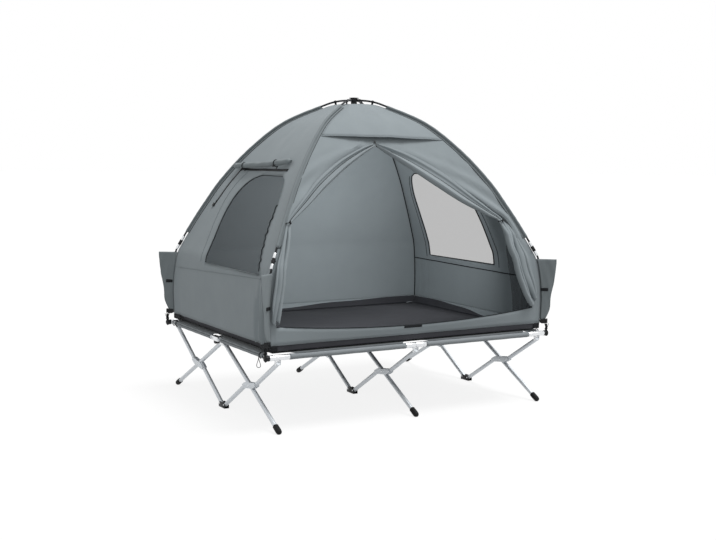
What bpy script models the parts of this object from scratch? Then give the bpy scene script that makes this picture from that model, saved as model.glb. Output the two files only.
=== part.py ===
"""Two-person tent cot: a folding camp cot on three scissor leg sets, with a dome tent standing on it.

Metres, +Z up. X runs along the long side, the door faces -Y, and the origin lies on the floor under the
middle of the cot. Each moving group hangs from an empty on its joint's axis.
"""
import math

import bmesh
import bpy
import numpy as np
from mathutils import Matrix, Vector

# Fits
GAP = 0.0003
WELD = 0.00003
CUT_OVERRUN = 0.004
SLEEVE_EASE = 0.0008

# Cot frame
COT_LENGTH = 1.96
COT_WIDTH = 1.50
RAIL_HEIGHT = 0.427
RAIL_RADIUS = 0.0135
TUBE_WALL = 0.0012
COLLAR_WALL = 0.002
SLEEVE_WALL = 0.0022
CAP_LENGTH = 0.030
CAP_RADIUS = 0.0165
END_COLLAR_LENGTH = 0.12
MIDDLE_COLLAR_LENGTH = 0.138
COLLAR_END_GAP = 0.003

# Legs
LEG_RADIUS = 0.0125
LEG_INSET = 0.084
LEG_END = 0.009
LEG_JOG = 0.0225
PIVOT_SPREAD = 0.030
PIVOT_CLEARANCE = 0.0028
CROSSING_CLEARANCE = 0.0015
FOOT_PIVOT_HEIGHT = 0.022
PLATE_THICKNESS = 0.0018
PLATE_REACH = 0.085
PLATE_MARGIN = 0.0015
EAR_THICKNESS = 0.0022
EAR_MARGIN = 0.0095
EAR_CHAMFER = 0.00475
RIVET_RADIUS = 0.0055
RIVET_HEIGHT = 0.0022
RIVET_BITE = 0.0006
PLATE_PIN_RADIUS = 0.00275
SHOE_WALL = 0.004
SHOE_GRIP = 0.034
SHOE_TOE = 0.030
CHANNEL_LENGTH = 0.088
CHANNEL_HEIGHT = 0.034
CHANNEL_BASE = 0.003
CHANNEL_WALL = 0.0027

# End bars
BAR_RADIUS = 0.0125
BAR_INSET = 0.040
BAR_PIVOT = 0.030
BAR_TUBE_START = 0.058
BAR_TONGUE_THICKNESS = 0.006
BAR_TONGUE_HEIGHT = 0.012
BAR_TONGUE_LENGTH = 0.030
BAR_TONGUE_TIP = 0.006
BAR_PLUG_LENGTH = 0.012
BAR_END_CLEARANCE = 0.004
BAR_EAR_REACH = 0.020
BAR_EAR_HEIGHT = 0.016
BAR_EAR_THICKNESS = 0.002
HOUSING_LENGTH = 0.090
HOUSING_WIDTH = 0.030
HOUSING_TOP = 0.0145
HOUSING_BOTTOM = 0.0135
HOUSING_ROOF = 0.004
LOCK_LENGTH = 0.036
LOCK_HEIGHT = 0.018
LOCK_WIDTH = 0.026

# Bed sheet and tent floor
SHEET_THICKNESS = 0.003
SHEET_WRAP = 0.005
FLOOR_THICKNESS = 0.003
FLOOR_EDGE = 0.030
FLOOR_RISE = 0.047

# Tent outline: one pole from the hub to its foot, in the upright plane of a diagonal
POLE_RADIUS = 0.006
POLE_FOOT_INSET = 0.025
TENT_RISE = 1.353
POLE_ARCH_SHARES = ((0.0, 1.0), (0.088, 0.994), (0.175, 0.970), (0.383, 0.891), (0.568, 0.764),
                    (0.716, 0.627), (0.805, 0.520), (0.876, 0.427), (0.948, 0.323), (0.977, 0.272),
                    (0.997, 0.175), (1.0025, 0.090), (1.0, 0.0), (0.998, -0.06))
ELBOW_POINT = 8
FOOT_POINT = 12
ARCH_STEPS = 10
SEAM_OFFSET = 0.013
CROWN_DROP = 0.032
CROWN_REACH = 0.25

# Tent cloth: heights above the poles' feet are shares of the arch from foot to hub
WALL_THICKNESS = 0.0025
WALL_LIFT = 0.0414
SILL_LIFT = 0.0079
CROWN_RADIUS = 0.022
UPPER_ROWS = (0.46, 0.33, 0.18)
PLAIN_ROW_SHARES = (0.0761, 0.1722, 0.3939, 0.7265)
DOOR_APEX_SHARE = -0.13
DOOR_HEIGHT_SHARES = (0.0429, 0.2461, 0.3570, 0.4531, 0.5048, 0.5713, 0.6356, 0.7118, 0.7709, 0.8004)
DOOR_LEFT_SHARES = (-0.955, -0.955, -0.955, -0.955, -0.955, -0.867, -0.760, -0.587, -0.340, -0.145)
DOOR_RIGHT_SHARES = (0.930, 0.930, 0.930, 0.930, 0.850, 0.730, 0.590, 0.350, 0.070, -0.115)
WINDOW_HEIGHT_SHARES = (0.2646, 0.3718, 0.5085, 0.5898, 0.6423, 0.6600)
WINDOW_NEAR_SHARES = (-0.790, -0.775, -0.745, -0.720, -0.660, -0.560)
WINDOW_FAR_SHARES = (0.305, 0.356, 0.430, 0.378, 0.224, 0.020)
WINDOW_MESH_THICKNESS = 0.0015
ROLL_RADIUS = 0.020
ROLL_END_SHARES = ((-0.66, 0.7154), (0.92, 0.6822))
VISOR_EDGE_SHARE = 0.8263
VISOR_BASE = 0.0008
VISOR_LIFT = 0.026
VISOR_SIDE = 0.026
VISOR_COLUMNS = 6

# Corner covers
COVER_CLOTH = 0.0014
COVER_TIP = 0.0012
COVER_EASE = 0.0006
COVER_SIDE_REACH = 0.0165
COVER_END_REACH = 0.007
COVER_HEIGHT_SHARES = (-0.0037, 0.0429, 0.1057, 0.1796, 0.2757)
COVER_TIPS = (0.020, 0.040, 0.042, 0.068, 0.108)

# Pole joints and hub
KNUCKLE_LENGTH = 0.030
KNUCKLE_RADIUS = 0.0095
FERRULE_LENGTH = 0.034
FERRULE_WALL = 0.002
HUB_RADIUS = 0.022
HUB_BODY_TOP = 0.004
HUB_BODY_HEIGHT = 0.027
HUB_CAP_RADIUS = 0.031
HUB_CAP_RIM = 0.022
HUB_CAP_HEIGHT = 0.009
HUB_BASE_RADIUS = 0.030

# Corner buckles and straps
BUCKLE_LENGTH = 0.050
BUCKLE_WIDTH = 0.024
BUCKLE_HEIGHT = 0.032
BUCKLE_LIFT = 0.0415
STRAP_CLEARANCE = 0.0006
STRAP_WIDTH = 0.016
STRAP_THICKNESS = 0.003
STRAP_INSET = 0.0095
HOOK_WIRE = 0.0022
HOOK_SWEEP = 230.0
HOOK_POINTS = 8

# Door flaps: their edge at the door, as shares of the arch's height and of the front's half width
FLAP_HEIGHT_SHARES = (0.7820, 0.7487, 0.6896, 0.6157, 0.5418, 0.4789, 0.4568, 0.4013, 0.3200, 0.2239,
                      0.1353, 0.0613)
FLAP_LEFT_SHARES = (-0.160, -0.360, -0.560, -0.730, -0.855, -0.955, -0.962, -0.955, -0.948, -0.948, -0.965,
                    -0.975)
FLAP_RIGHT_SHARES = (-0.100, 0.060, 0.290, 0.500, 0.655, 0.800, 0.860, 0.868, 0.852, 0.856, 0.880, 0.905)
FLAP_LEFT_WIDTHS = (0.030, 0.045, 0.055, 0.055, 0.042, 0.022, 0.018, 0.022, 0.026, 0.028, 0.024, 0.018)
FLAP_RIGHT_WIDTHS = (0.030, 0.045, 0.055, 0.060, 0.055, 0.042, 0.034, 0.050, 0.065, 0.070, 0.065, 0.050)
FLAP_DEPTH_SHARE = 0.28
FLAP_FOLDS = 6
FLAP_ROWS = 20
FLAP_CLOTH = 0.0018
FLAP_STAND = 0.0024

# Zip pulls
SLIDER_LENGTH = 0.014
SLIDER_WIDTH = 0.009
SLIDER_THICKNESS = 0.005
PULL_LENGTH = 0.032
PULL_WIDTH = 0.007
PULL_THICKNESS = 0.002
WINDOW_PULL_SHARE = 0.783
WINDOW_PULL_HEIGHT_SHARE = 0.5255
DOOR_PULL_LIFT = 0.006

# Faceting
TUBE_SIDES = 12
SMALL_SIDES = 8
PIN_SIDES = 6
POLE_RINGS = 2
WIRE_RINGS = 1
POLE_STEP = 6
LEAN_REACH = 0.004
SHARP_ANGLE = 40.0

# Finishes: colour, roughness and metallic share
FINISH_SHARES = {
    "anodised aluminium tube": ((0.70, 0.72, 0.75), 0.35, 1.0),
    "bright alloy fitting": ((0.82, 0.83, 0.85), 0.30, 1.0),
    "black rubber": ((0.010, 0.010, 0.011), 0.75, 0.0),
    "black moulded plastic": ((0.012, 0.013, 0.015), 0.45, 0.0),
    "dark bed cloth": ((0.065, 0.067, 0.072), 0.90, 0.0),
    "dark floor cloth": ((0.065, 0.067, 0.072), 0.90, 0.0),
    "grey coated cloth": ((0.28, 0.31, 0.33), 0.85, 0.0),
    "shaded grey cloth": ((0.17, 0.19, 0.20), 0.85, 0.0),
    "insect mesh": ((0.09, 0.10, 0.11), 0.90, 0.0),
    "dark pole": ((0.10, 0.105, 0.11), 0.40, 0.0),
}

# Worked-out places
CORNER_RADIUS = math.hypot(COT_LENGTH - CAP_LENGTH, COT_WIDTH) / 2
SHARE_X = (COT_LENGTH - CAP_LENGTH) / 2 / CORNER_RADIUS
SHARE_Y = COT_WIDTH / 2 / CORNER_RADIUS
POLE_REACH = CORNER_RADIUS - POLE_FOOT_INSET
COLLAR_RADIUS = RAIL_RADIUS + GAP + COLLAR_WALL
SLEEVE_RADIUS = RAIL_RADIUS + SLEEVE_EASE + SLEEVE_WALL
PIVOT_DROP = COLLAR_RADIUS + math.hypot(LEG_END, LEG_RADIUS) + PIVOT_CLEARANCE
TOP_PIVOT = RAIL_HEIGHT - PIVOT_DROP
LEG_PLANE = COT_LENGTH / 2 - LEG_INSET
LEG_PLANES = {"left": -LEG_PLANE, "middle": 0.0, "right": LEG_PLANE}
RAIL_END = COT_LENGTH / 2 - CAP_LENGTH
BAR_PLACE = COT_LENGTH / 2 - BAR_INSET
LEG_SPAN = COT_WIDTH / 2 - PIVOT_SPREAD
LEG_RISE = TOP_PIVOT - FOOT_PIVOT_HEIGHT
LEG_LENGTH = math.hypot(LEG_SPAN, LEG_RISE)
CROSSING = Vector((0.0, (COT_WIDTH / 2 + PIVOT_SPREAD) / 2, (TOP_PIVOT + FOOT_PIVOT_HEIGHT) / 2))
SHEET_BOTTOM = RAIL_HEIGHT + SLEEVE_RADIUS + GAP
FLOOR_BOTTOM = SHEET_BOTTOM + SHEET_THICKNESS + GAP
WALL_BOTTOM = FLOOR_BOTTOM + WALL_LIFT
SILL_BOTTOM = FLOOR_BOTTOM + SILL_LIFT
BUCKLE_BOTTOM = RAIL_HEIGHT + CAP_RADIUS + BUCKLE_LIFT
POLE_FOOT_HEIGHT = BUCKLE_BOTTOM + BUCKLE_HEIGHT
HUB_HEIGHT = POLE_FOOT_HEIGHT + TENT_RISE
PLATE_FACE = LEG_RADIUS + GAP + PLATE_THICKNESS

PARTS = None
PIVOTS = {}
FINISHES = {}


def clear_scene():
    """Take away whatever the scene holds."""
    for thing in list(bpy.data.objects):
        bpy.data.objects.remove(thing, do_unlink=True)


def make_collection(name):
    """A collection under the scene's own."""
    made = bpy.data.collections.new(name)
    bpy.context.scene.collection.children.link(made)
    return made


def finish(name):
    """A Principled material, made once and kept by its name."""
    if name not in FINISHES:
        colour, roughness, metallic = FINISH_SHARES[name]
        material = bpy.data.materials.new(name)
        material.use_nodes = True
        shader = material.node_tree.nodes["Principled BSDF"]
        shader.inputs["Base Color"].default_value = (*colour, 1.0)
        shader.inputs["Roughness"].default_value = roughness
        shader.inputs["Metallic"].default_value = metallic
        FINISHES[name] = material
    return FINISHES[name]


def from_bmesh(bm):
    """A loose piece in the scene from a bmesh."""
    mesh = bpy.data.meshes.new("piece")
    bm.to_mesh(mesh)
    bm.free()
    piece = bpy.data.objects.new("piece", mesh)
    bpy.context.scene.collection.objects.link(piece)
    return piece


def baked(piece):
    """The piece's world mesh with its modifiers; the piece itself goes."""
    bpy.context.view_layer.update()
    graph = bpy.context.evaluated_depsgraph_get()
    mesh = bpy.data.meshes.new_from_object(piece.evaluated_get(graph))
    mesh.transform(piece.matrix_world)
    bpy.data.objects.remove(piece)
    return mesh


def cylinder(start, end, radius, sides=TUBE_SIDES, capped=True, end_radius=None):
    """A straight round bar between two points."""
    start, end = Vector(start), Vector(end)
    axis = end - start
    bm = bmesh.new()
    bmesh.ops.create_cone(bm, cap_ends=capped, segments=sides, radius1=radius,
                          radius2=radius if end_radius is None else end_radius, depth=axis.length)
    turn = axis.to_track_quat("Z", "Y").to_matrix().to_4x4()
    bmesh.ops.transform(bm, matrix=Matrix.Translation((start + end) / 2) @ turn, verts=bm.verts)
    return from_bmesh(bm)


def thicken(piece, thickness, offset):
    """Give an open surface its wall."""
    shell = piece.modifiers.new("wall", "SOLIDIFY")
    shell.thickness = thickness
    shell.offset = offset
    shell.use_even_offset = True
    return piece


def tube(start, end, radius, wall, sides=TUBE_SIDES):
    """A straight open-ended tube; the wall goes inwards from the radius."""
    return thicken(cylinder(start, end, radius, sides, capped=False), wall, -1.0)


def block(low, high, frame=None):
    """A box between two corners, placed by a matrix where one is given."""
    low, high = Vector(low), Vector(high)
    bm = bmesh.new()
    bmesh.ops.create_cube(bm, size=1.0)
    size = high - low
    grow = Matrix.Diagonal((size.x, size.y, size.z, 1.0))
    place = Matrix.Translation((low + high) / 2) @ grow
    bmesh.ops.transform(bm, matrix=place if frame is None else frame @ place, verts=bm.verts)
    return from_bmesh(bm)


def flat_piece(outline, thickness, frame):
    """A flat outline, given in the frame's own X and Y, made as thick as asked."""
    curve = bpy.data.curves.new("outline", "CURVE")
    curve.dimensions = "2D"
    curve.fill_mode = "BOTH"
    curve.extrude = thickness / 2
    spline = curve.splines.new("POLY")
    spline.points.add(len(outline) - 1)
    for point, (across, along) in zip(spline.points, outline):
        point.co = (across, along, 0.0, 1.0)
    spline.use_cyclic_u = True
    shape = bpy.data.objects.new("outline", curve)
    bpy.context.scene.collection.objects.link(shape)
    return welded(baked(shape), frame)


def welded(mesh, frame=None):
    """A piece from a mesh whose caps are still loose."""
    bm = bmesh.new()
    bm.from_mesh(mesh)
    bpy.data.meshes.remove(mesh)
    bmesh.ops.remove_doubles(bm, verts=bm.verts, dist=WELD)
    if frame is not None:
        bmesh.ops.transform(bm, matrix=frame, verts=bm.verts)
    bmesh.ops.recalc_face_normals(bm, faces=bm.faces)
    return from_bmesh(bm)


def rod_along(points, radii, rings):
    """A round rod along a line of points, with its own radius at each point."""
    curve = bpy.data.curves.new("path", "CURVE")
    curve.dimensions = "3D"
    curve.bevel_depth = radii[0]
    curve.bevel_resolution = rings
    curve.use_fill_caps = True
    spline = curve.splines.new("POLY")
    spline.points.add(len(points) - 1)
    for point, place, radius in zip(spline.points, points, radii):
        point.co = (*place, 1.0)
        point.radius = radius / radii[0]
    line = bpy.data.objects.new("path", curve)
    bpy.context.scene.collection.objects.link(line)
    return welded(baked(line))


def combine(base, other, operation):
    """Join a piece to another, or cut it, with an exact Boolean."""
    action = base.modifiers.new("join", "BOOLEAN")
    action.operation = operation
    action.solver = "EXACT"
    action.object = other
    mesh = baked(base)
    bpy.data.objects.remove(other)
    made = bpy.data.objects.new("piece", mesh)
    bpy.context.scene.collection.objects.link(made)
    return made


def united(pieces):
    """One solid from pieces that overlap."""
    base = pieces[0]
    for piece in pieces[1:]:
        base = combine(base, piece, "UNION")
    return base


def add_node(name, pieces, material, body, smooth=True):
    """One named object from overlapping pieces, hung from its body's empty."""
    mesh = baked(united(pieces))
    pivot = PIVOTS[body]
    mesh.transform(Matrix.Translation(-pivot.location))
    mesh.name = name
    if smooth:
        mesh.shade_smooth()
        mesh.set_sharp_from_angle(angle=math.radians(SHARP_ANGLE))
    mesh.materials.clear()
    mesh.materials.append(material)
    node = bpy.data.objects.new(name, mesh)
    node.parent = pivot
    PARTS.objects.link(node)
    return node


def add_pivot(body, place):
    """The empty that carries a moving body, on its joint's axis."""
    pivot = bpy.data.objects.new(body + "_pivot", None)
    pivot.location = place
    pivot.empty_display_size = LEG_RADIUS
    PARTS.objects.link(pivot)
    PIVOTS[body] = pivot


def quad_sheet(rows):
    """An open surface through rows of points."""
    bm = bmesh.new()
    grid = [[bm.verts.new(point) for point in row] for row in rows]
    for upper, lower in zip(grid, grid[1:]):
        for first in range(len(upper) - 1):
            bm.faces.new((upper[first], upper[first + 1], lower[first + 1], lower[first]))
    return from_bmesh(bm)


def cloth_between(outer, inner, kept):
    """A closed cloth panel between two like grids of points; kept says which cells it has."""
    bm = bmesh.new()
    outside = [[bm.verts.new(point) for point in row] for row in outer]
    inside = [[bm.verts.new(point) for point in row] for row in inner]
    for row in range(len(outer) - 1):
        for column in range(len(outer[0]) - 1):
            if not kept(row, column):
                continue
            corners = ((row, column), (row, column + 1), (row + 1, column + 1), (row + 1, column))
            bm.faces.new([outside[i][j] for i, j in corners])
            bm.faces.new([inside[i][j] for i, j in reversed(corners)])
            sides = zip(corners, corners[1:] + corners[:1], ((-1, 0), (0, 1), (1, 0), (0, -1)))
            for (i, j), (k, m), (down, across) in sides:
                beside = (row + down, column + across)
                inner_cell = 0 <= beside[0] < len(outer) - 1 and 0 <= beside[1] < len(outer[0]) - 1
                if not (inner_cell and kept(*beside)):
                    bm.faces.new((outside[k][m], outside[i][j], inside[i][j], inside[k][m]))
    loose = [vert for vert in bm.verts if not vert.link_faces]
    bmesh.ops.delete(bm, geom=loose, context="VERTS")
    bmesh.ops.recalc_face_normals(bm, faces=bm.faces)
    return from_bmesh(bm)


def smooth_line(points, steps):
    """Points along a smooth curve through the given points."""
    points = [np.array(point, dtype=float) for point in points]
    line = []
    for index in range(len(points) - 1):
        before = points[max(index - 1, 0)]
        start, end = points[index], points[index + 1]
        after = points[min(index + 2, len(points) - 1)]
        for step in range(steps):
            t = step / steps
            line.append(0.5 * (2 * start + (end - before) * t
                               + (2 * before - 5 * start + 4 * end - after) * t ** 2
                               + (3 * start - before - 3 * end + after) * t ** 3))
    line.append(points[-1])
    return np.array(line)


class Dome:
    """The tent's outline in the upright plane of a diagonal: distance from the middle, and height."""

    def __init__(self):
        points = [(across * POLE_REACH, POLE_FOOT_HEIGHT + up * TENT_RISE) for across, up in POLE_ARCH_SHARES]
        self.pole = smooth_line(points, ARCH_STEPS)
        slope = np.gradient(self.pole, axis=0)
        slope /= np.linalg.norm(slope, axis=1)[:, None]
        self.normal = np.column_stack((-slope[:, 1], slope[:, 0]))
        near = np.clip(1 - self.pole[:, 0] / CROWN_REACH, 0, 1) ** 2
        self.offset = SEAM_OFFSET + (CROWN_DROP - SEAM_OFFSET) * near
        self.cloth = self.pole - self.normal * self.offset[:, None]
        self.elbow = ELBOW_POINT * ARCH_STEPS
        self.foot = FOOT_POINT * ARCH_STEPS

    def at_height(self, height, out=0.0):
        """Distance and height of the cloth's outer face, moved out along its normal."""
        place = np.interp(-height, -self.cloth[:, 1], np.arange(len(self.cloth)))
        return self.at_place(place, out)

    def at_radius(self, radius, out=0.0):
        """The same, found by its distance from the middle, for the flat top."""
        top = self.elbow
        place = np.interp(radius, self.cloth[:top, 0], np.arange(top))
        return self.at_place(place, out)

    def at_place(self, place, out):
        """A point of the cloth's outer face at a place counted along the outline."""
        steps = np.arange(len(self.cloth))
        point = [np.interp(place, steps, self.cloth[:, axis]) for axis in (0, 1)]
        lean = [np.interp(place, steps, self.normal[:, axis]) for axis in (0, 1)]
        return point[0] + lean[0] * out, point[1] + lean[1] * out

    def on_facet(self, height, heights):
        """Distance and height on the straight facets that the cloth has between these heights."""
        return float(np.interp(height, heights, [self.at_height(row)[0] for row in heights])), height

    def pole_at_height(self, height):
        """The pole's distance from the middle at a height."""
        return float(np.interp(-height, -self.pole[:, 1], self.pole[:, 0]))


def on_wall(side, radius, height, share):
    """A point of one wall; the share runs from -1 to 1 along +X or +Y."""
    if side in ("front", "back"):
        depth = radius * SHARE_Y
        return Vector((share * radius * SHARE_X, -depth if side == "front" else depth, height))
    depth = radius * SHARE_X
    return Vector((-depth if side == "left" else depth, share * radius * SHARE_Y, height))


def facet_normal(side, dome, height, heights):
    """The outward direction of a wall's straight facet at a height."""
    above = on_wall(side, *dome.on_facet(height + LEAN_REACH, heights), 0.0)
    below = on_wall(side, *dome.on_facet(height - LEAN_REACH, heights), 0.0)
    outward = on_wall(side, 1.0, 0.0, 0.0)
    level = outward.cross(Vector((0.0, 0.0, 1.0)))
    lean = (above - below).cross(level).normalized()
    return lean if lean.dot(outward) > 0 else -lean


def half_width(side, radius):
    """Half the wall's width where the outline is this far out."""
    return radius * (SHARE_X if side in ("front", "back") else SHARE_Y)


def arch_height(share):
    """The height at a share of the way from the poles' feet up to the hub."""
    return POLE_FOOT_HEIGHT + share * TENT_RISE


def arch_heights(shares):
    """The heights at several such shares."""
    return [arch_height(share) for share in shares]


def front_rows():
    """The heights at which the front wall's facets meet."""
    return sorted((SILL_BOTTOM, *arch_heights((*DOOR_HEIGHT_SHARES, VISOR_EDGE_SHARE))))


def side_rows():
    """The heights at which a side wall's facets meet."""
    upper = (*PLAIN_ROW_SHARES, *WINDOW_HEIGHT_SHARES, VISOR_EDGE_SHARE)
    return sorted((WALL_BOTTOM, *arch_heights(upper)))


def wall_grid(side, dome, heights, columns, out, crown=UPPER_ROWS + (CROWN_RADIUS,)):
    """Rows of points on a wall at heights, then at distances from the middle, stood off its outer face."""
    rows = []
    finders = [(dome.at_height, height) for height in heights]
    finders += [(dome.at_radius, radius) for radius in crown]
    for finder, value in finders:
        base = finder(value)
        limit = 1 - GAP / half_width(side, base[0])
        shares = [min(max(share, -limit), limit) for share in columns(base)]
        rows.append([on_wall(side, *finder(value, out), share) for share in shares])
    return rows


def along_diagonal(point, sign_x, sign_y, across=0.0):
    """A point given by its distance out along a diagonal and its height, moved across it."""
    out, height = point
    side = Vector((-sign_y * SHARE_Y, sign_x * SHARE_X, 0.0)) * across
    return Vector((sign_x * SHARE_X * out, sign_y * SHARE_Y * out, height)) + side


def cut_line(line, start, end):
    """The stretch of a line of points between two distances along it."""
    points = [Vector(point) for point in line]
    lengths = [0.0]
    for first, second in zip(points, points[1:]):
        lengths.append(lengths[-1] + (second - first).length)
    end = lengths[-1] + end if end <= 0 else end

    def at(distance):
        return Vector([float(np.interp(distance, lengths, [point[axis] for point in points]))
                       for axis in range(3)])

    middle = [point for point, length in zip(points, lengths) if start < length < end]
    return [at(start)] + middle + [at(end)]


def tail(line, start, end):
    """The stretch between two distances counted back from a line's end."""
    return list(reversed(cut_line(list(reversed(line)), end, start)))


def corners():
    """The four diagonals: a name, and the signs of X and Y."""
    return (("front_left", -1, -1), ("front_right", 1, -1), ("rear_left", -1, 1), ("rear_right", 1, 1))


def diagonal_frame(sign_x, sign_y):
    """A frame whose X runs out along a diagonal and whose Z is up."""
    angle = math.atan2(sign_y * SHARE_Y, sign_x * SHARE_X)
    return Matrix.Rotation(angle, 4, "Z")


def upright_frame():
    """A frame whose X is +Y and whose Y is +Z, so that flat outlines stand across the rails."""
    return Matrix(((0, 0, 1, 0), (1, 0, 0, 0), (0, 1, 0, 0), (0, 0, 0, 1)))


def ear_outline(spread):
    """An ear's outline below a rail, as distance across and height from the rail's middle."""
    half = spread + EAR_MARGIN
    top = COLLAR_RADIUS - COLLAR_WALL
    low = -PIVOT_DROP - EAR_MARGIN
    return ((-top, 0.0), (-half, -PIVOT_DROP), (-half, low + EAR_CHAMFER), (-half + EAR_CHAMFER, low),
            (half - EAR_CHAMFER, low), (half, low + EAR_CHAMFER), (half, -PIVOT_DROP), (top, 0.0))


def shift(pieces, place):
    """Move loose pieces to a place."""
    for piece in pieces:
        piece.location = place
    return pieces


def legs_ears(plane, spread):
    """The two ears below a collar that hold one plane's legs, with a rivet head at each pivot."""
    pieces = []
    face = LEG_RADIUS + GAP + EAR_THICKNESS
    for side in (-1, 1):
        middle = plane + side * (face - EAR_THICKNESS / 2)
        frame = Matrix.Translation((middle, 0.0, 0.0)) @ upright_frame()
        pieces.append(flat_piece(ear_outline(spread), EAR_THICKNESS, frame))
        for pivot in sorted({-spread, spread}):
            start = Vector((plane + side * (face - RIVET_BITE), pivot, -PIVOT_DROP))
            end = Vector((plane + side * (face + RIVET_HEIGHT), pivot, -PIVOT_DROP))
            pieces.append(cylinder(start, end, RIVET_RADIUS, SMALL_SIDES))
    return pieces


def bar_ears(sign, bar_side):
    """The two ears at one end of an outer rail that hold an end bar's tongue."""
    pieces = []
    reach = bar_side * (COLLAR_RADIUS + BAR_EAR_REACH)
    for side in (-1, 1):
        inner = sign * BAR_PLACE + side * (BAR_TONGUE_THICKNESS / 2 + GAP)
        outer = inner + side * BAR_EAR_THICKNESS
        low = (min(inner, outer), min(0.0, reach), -BAR_EAR_HEIGHT / 2)
        high = (max(inner, outer), max(0.0, reach), BAR_EAR_HEIGHT / 2)
        pieces.append(block(low, high))
    return pieces


def build_rail(name, across, body, spread, bar_side):
    """A long rail with the collars pressed on it and their ears for legs and end bars."""
    aluminium = finish("anodised aluminium tube")
    end = RAIL_END if bar_side else BAR_PLACE - HOUSING_WIDTH / 2 - GAP
    pieces = [cylinder((-end, 0.0, 0.0), (end, 0.0, 0.0), RAIL_RADIUS)]
    for place, plane in LEG_PLANES.items():
        sign = {"left": -1, "middle": 0, "right": 1}[place]
        length = END_COLLAR_LENGTH if sign else MIDDLE_COLLAR_LENGTH
        outer = sign * (end - COLLAR_END_GAP) if sign else length / 2
        inner = outer - sign * length if sign else -length / 2
        pieces.append(cylinder((min(inner, outer), 0.0, 0.0), (max(inner, outer), 0.0, 0.0), COLLAR_RADIUS))
        pieces += legs_ears(plane, spread)
        if sign and bar_side:
            pieces += bar_ears(sign, bar_side)
    bore = cylinder((-COT_LENGTH, 0.0, 0.0), (COT_LENGTH, 0.0, 0.0), RAIL_RADIUS - TUBE_WALL)
    rail = combine(united(pieces), bore, "DIFFERENCE")
    add_node(name, shift([rail], (0.0, across, RAIL_HEIGHT)), aluminium, body)


def build_corner_hooks(prefix, sign, body):
    """At each end of an outer rail, its cap with the tent's hook round it and the hook's webbing."""
    plastic = finish("black moulded plastic")
    top = BUCKLE_BOTTOM - STRAP_CLEARANCE
    ring = CAP_RADIUS + HOOK_WIRE / 2
    for name, side in (("left", -1), ("right", 1)):
        start = side * (RAIL_END + GAP)
        cap = cylinder((start, 0.0, 0.0), (side * COT_LENGTH / 2, 0.0, 0.0), CAP_RADIUS)
        across = side * (COT_LENGTH / 2 - STRAP_INSET)
        web = block((across - STRAP_WIDTH / 2, -STRAP_THICKNESS / 2, CAP_RADIUS - RIVET_HEIGHT),
                    (across + STRAP_WIDTH / 2, STRAP_THICKNESS / 2, top - RAIL_HEIGHT))
        points = []
        for index in range(HOOK_POINTS):
            angle = math.radians(90.0 - HOOK_SWEEP * index / (HOOK_POINTS - 1))
            points.append((across, sign * ring * math.cos(angle), ring * math.sin(angle)))
        hook = rod_along(points, [HOOK_WIRE] * HOOK_POINTS, WIRE_RINGS)
        pieces = shift([united([cap, web, hook])],
                       (0.0, sign * COT_WIDTH / 2, RAIL_HEIGHT))
        add_node(prefix + "_" + name + "_cap", pieces, plastic, body)


def leg_line(sign, kind):
    """A leg's top pivot and foot pivot in its own plane."""
    inner, outer = sign * PIVOT_SPREAD, sign * COT_WIDTH / 2
    top, foot = (inner, outer) if kind == "straight" else (outer, inner)
    return Vector((0.0, top, TOP_PIVOT)), Vector((0.0, foot, FOOT_PIVOT_HEIGHT))


def straight_leg(sign):
    """The straight leg's tube, from past its top pivot to its foot."""
    top, foot = leg_line(sign, "straight")
    along = (foot - top).normalized()
    return [tube(top - along * LEG_END, foot, LEG_RADIUS, TUBE_WALL)]


def jogged_leg(sign):
    """The jogged leg: two tubes stepped to either side of the crossing, side plates and their rivets."""
    top, foot = leg_line(sign, "jogged")
    along = (foot - top).normalized()
    down = Vector((0.0, sign * LEG_RISE, -LEG_SPAN)) / LEG_LENGTH
    crossing = (top + foot) / 2
    angle = 2 * math.atan2(LEG_RISE, LEG_SPAN)
    setback = (LEG_RADIUS + CROSSING_CLEARANCE
               + (LEG_JOG + LEG_RADIUS) * math.cos(angle)) / math.sin(angle)
    upper_end = crossing + down * LEG_JOG - along * setback
    lower_end = crossing - down * LEG_JOG + along * setback
    pieces = [tube(top - along * LEG_END, upper_end, LEG_RADIUS, TUBE_WALL),
              tube(lower_end, foot + along * LEG_END, LEG_RADIUS, TUBE_WALL)]
    high = LEG_JOG + LEG_RADIUS - PLATE_MARGIN
    low = LEG_JOG - LEG_RADIUS + PLATE_MARGIN
    outline = ((-PLATE_REACH, low), (-PLATE_REACH, high), (-setback, high),
               (PLATE_REACH, -low), (PLATE_REACH, -high), (setback, -high))
    cross = along.cross(down)
    frame = Matrix.Identity(4)
    for row in range(3):
        frame[row][0], frame[row][1], frame[row][2] = along[row], down[row], cross[row]
    heads = Vector((PLATE_FACE + RIVET_HEIGHT, 0.0, 0.0))
    for side in (-1, 1):
        offset = Vector((side * (LEG_RADIUS + GAP + PLATE_THICKNESS / 2), 0.0, 0.0))
        pieces.append(flat_piece(outline, PLATE_THICKNESS, Matrix.Translation(crossing + offset) @ frame))
        inner = crossing + Vector((side * (PLATE_FACE - RIVET_BITE), 0.0, 0.0))
        pieces.append(cylinder(inner, crossing + side * heads, RIVET_RADIUS, SMALL_SIDES))
        hold = (setback + PLATE_REACH) / 2
        pin = crossing + side * (along * hold - down * LEG_JOG)
        pieces.append(cylinder(pin - heads, pin + heads, PLATE_PIN_RADIUS, PIN_SIDES))
    return pieces


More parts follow.
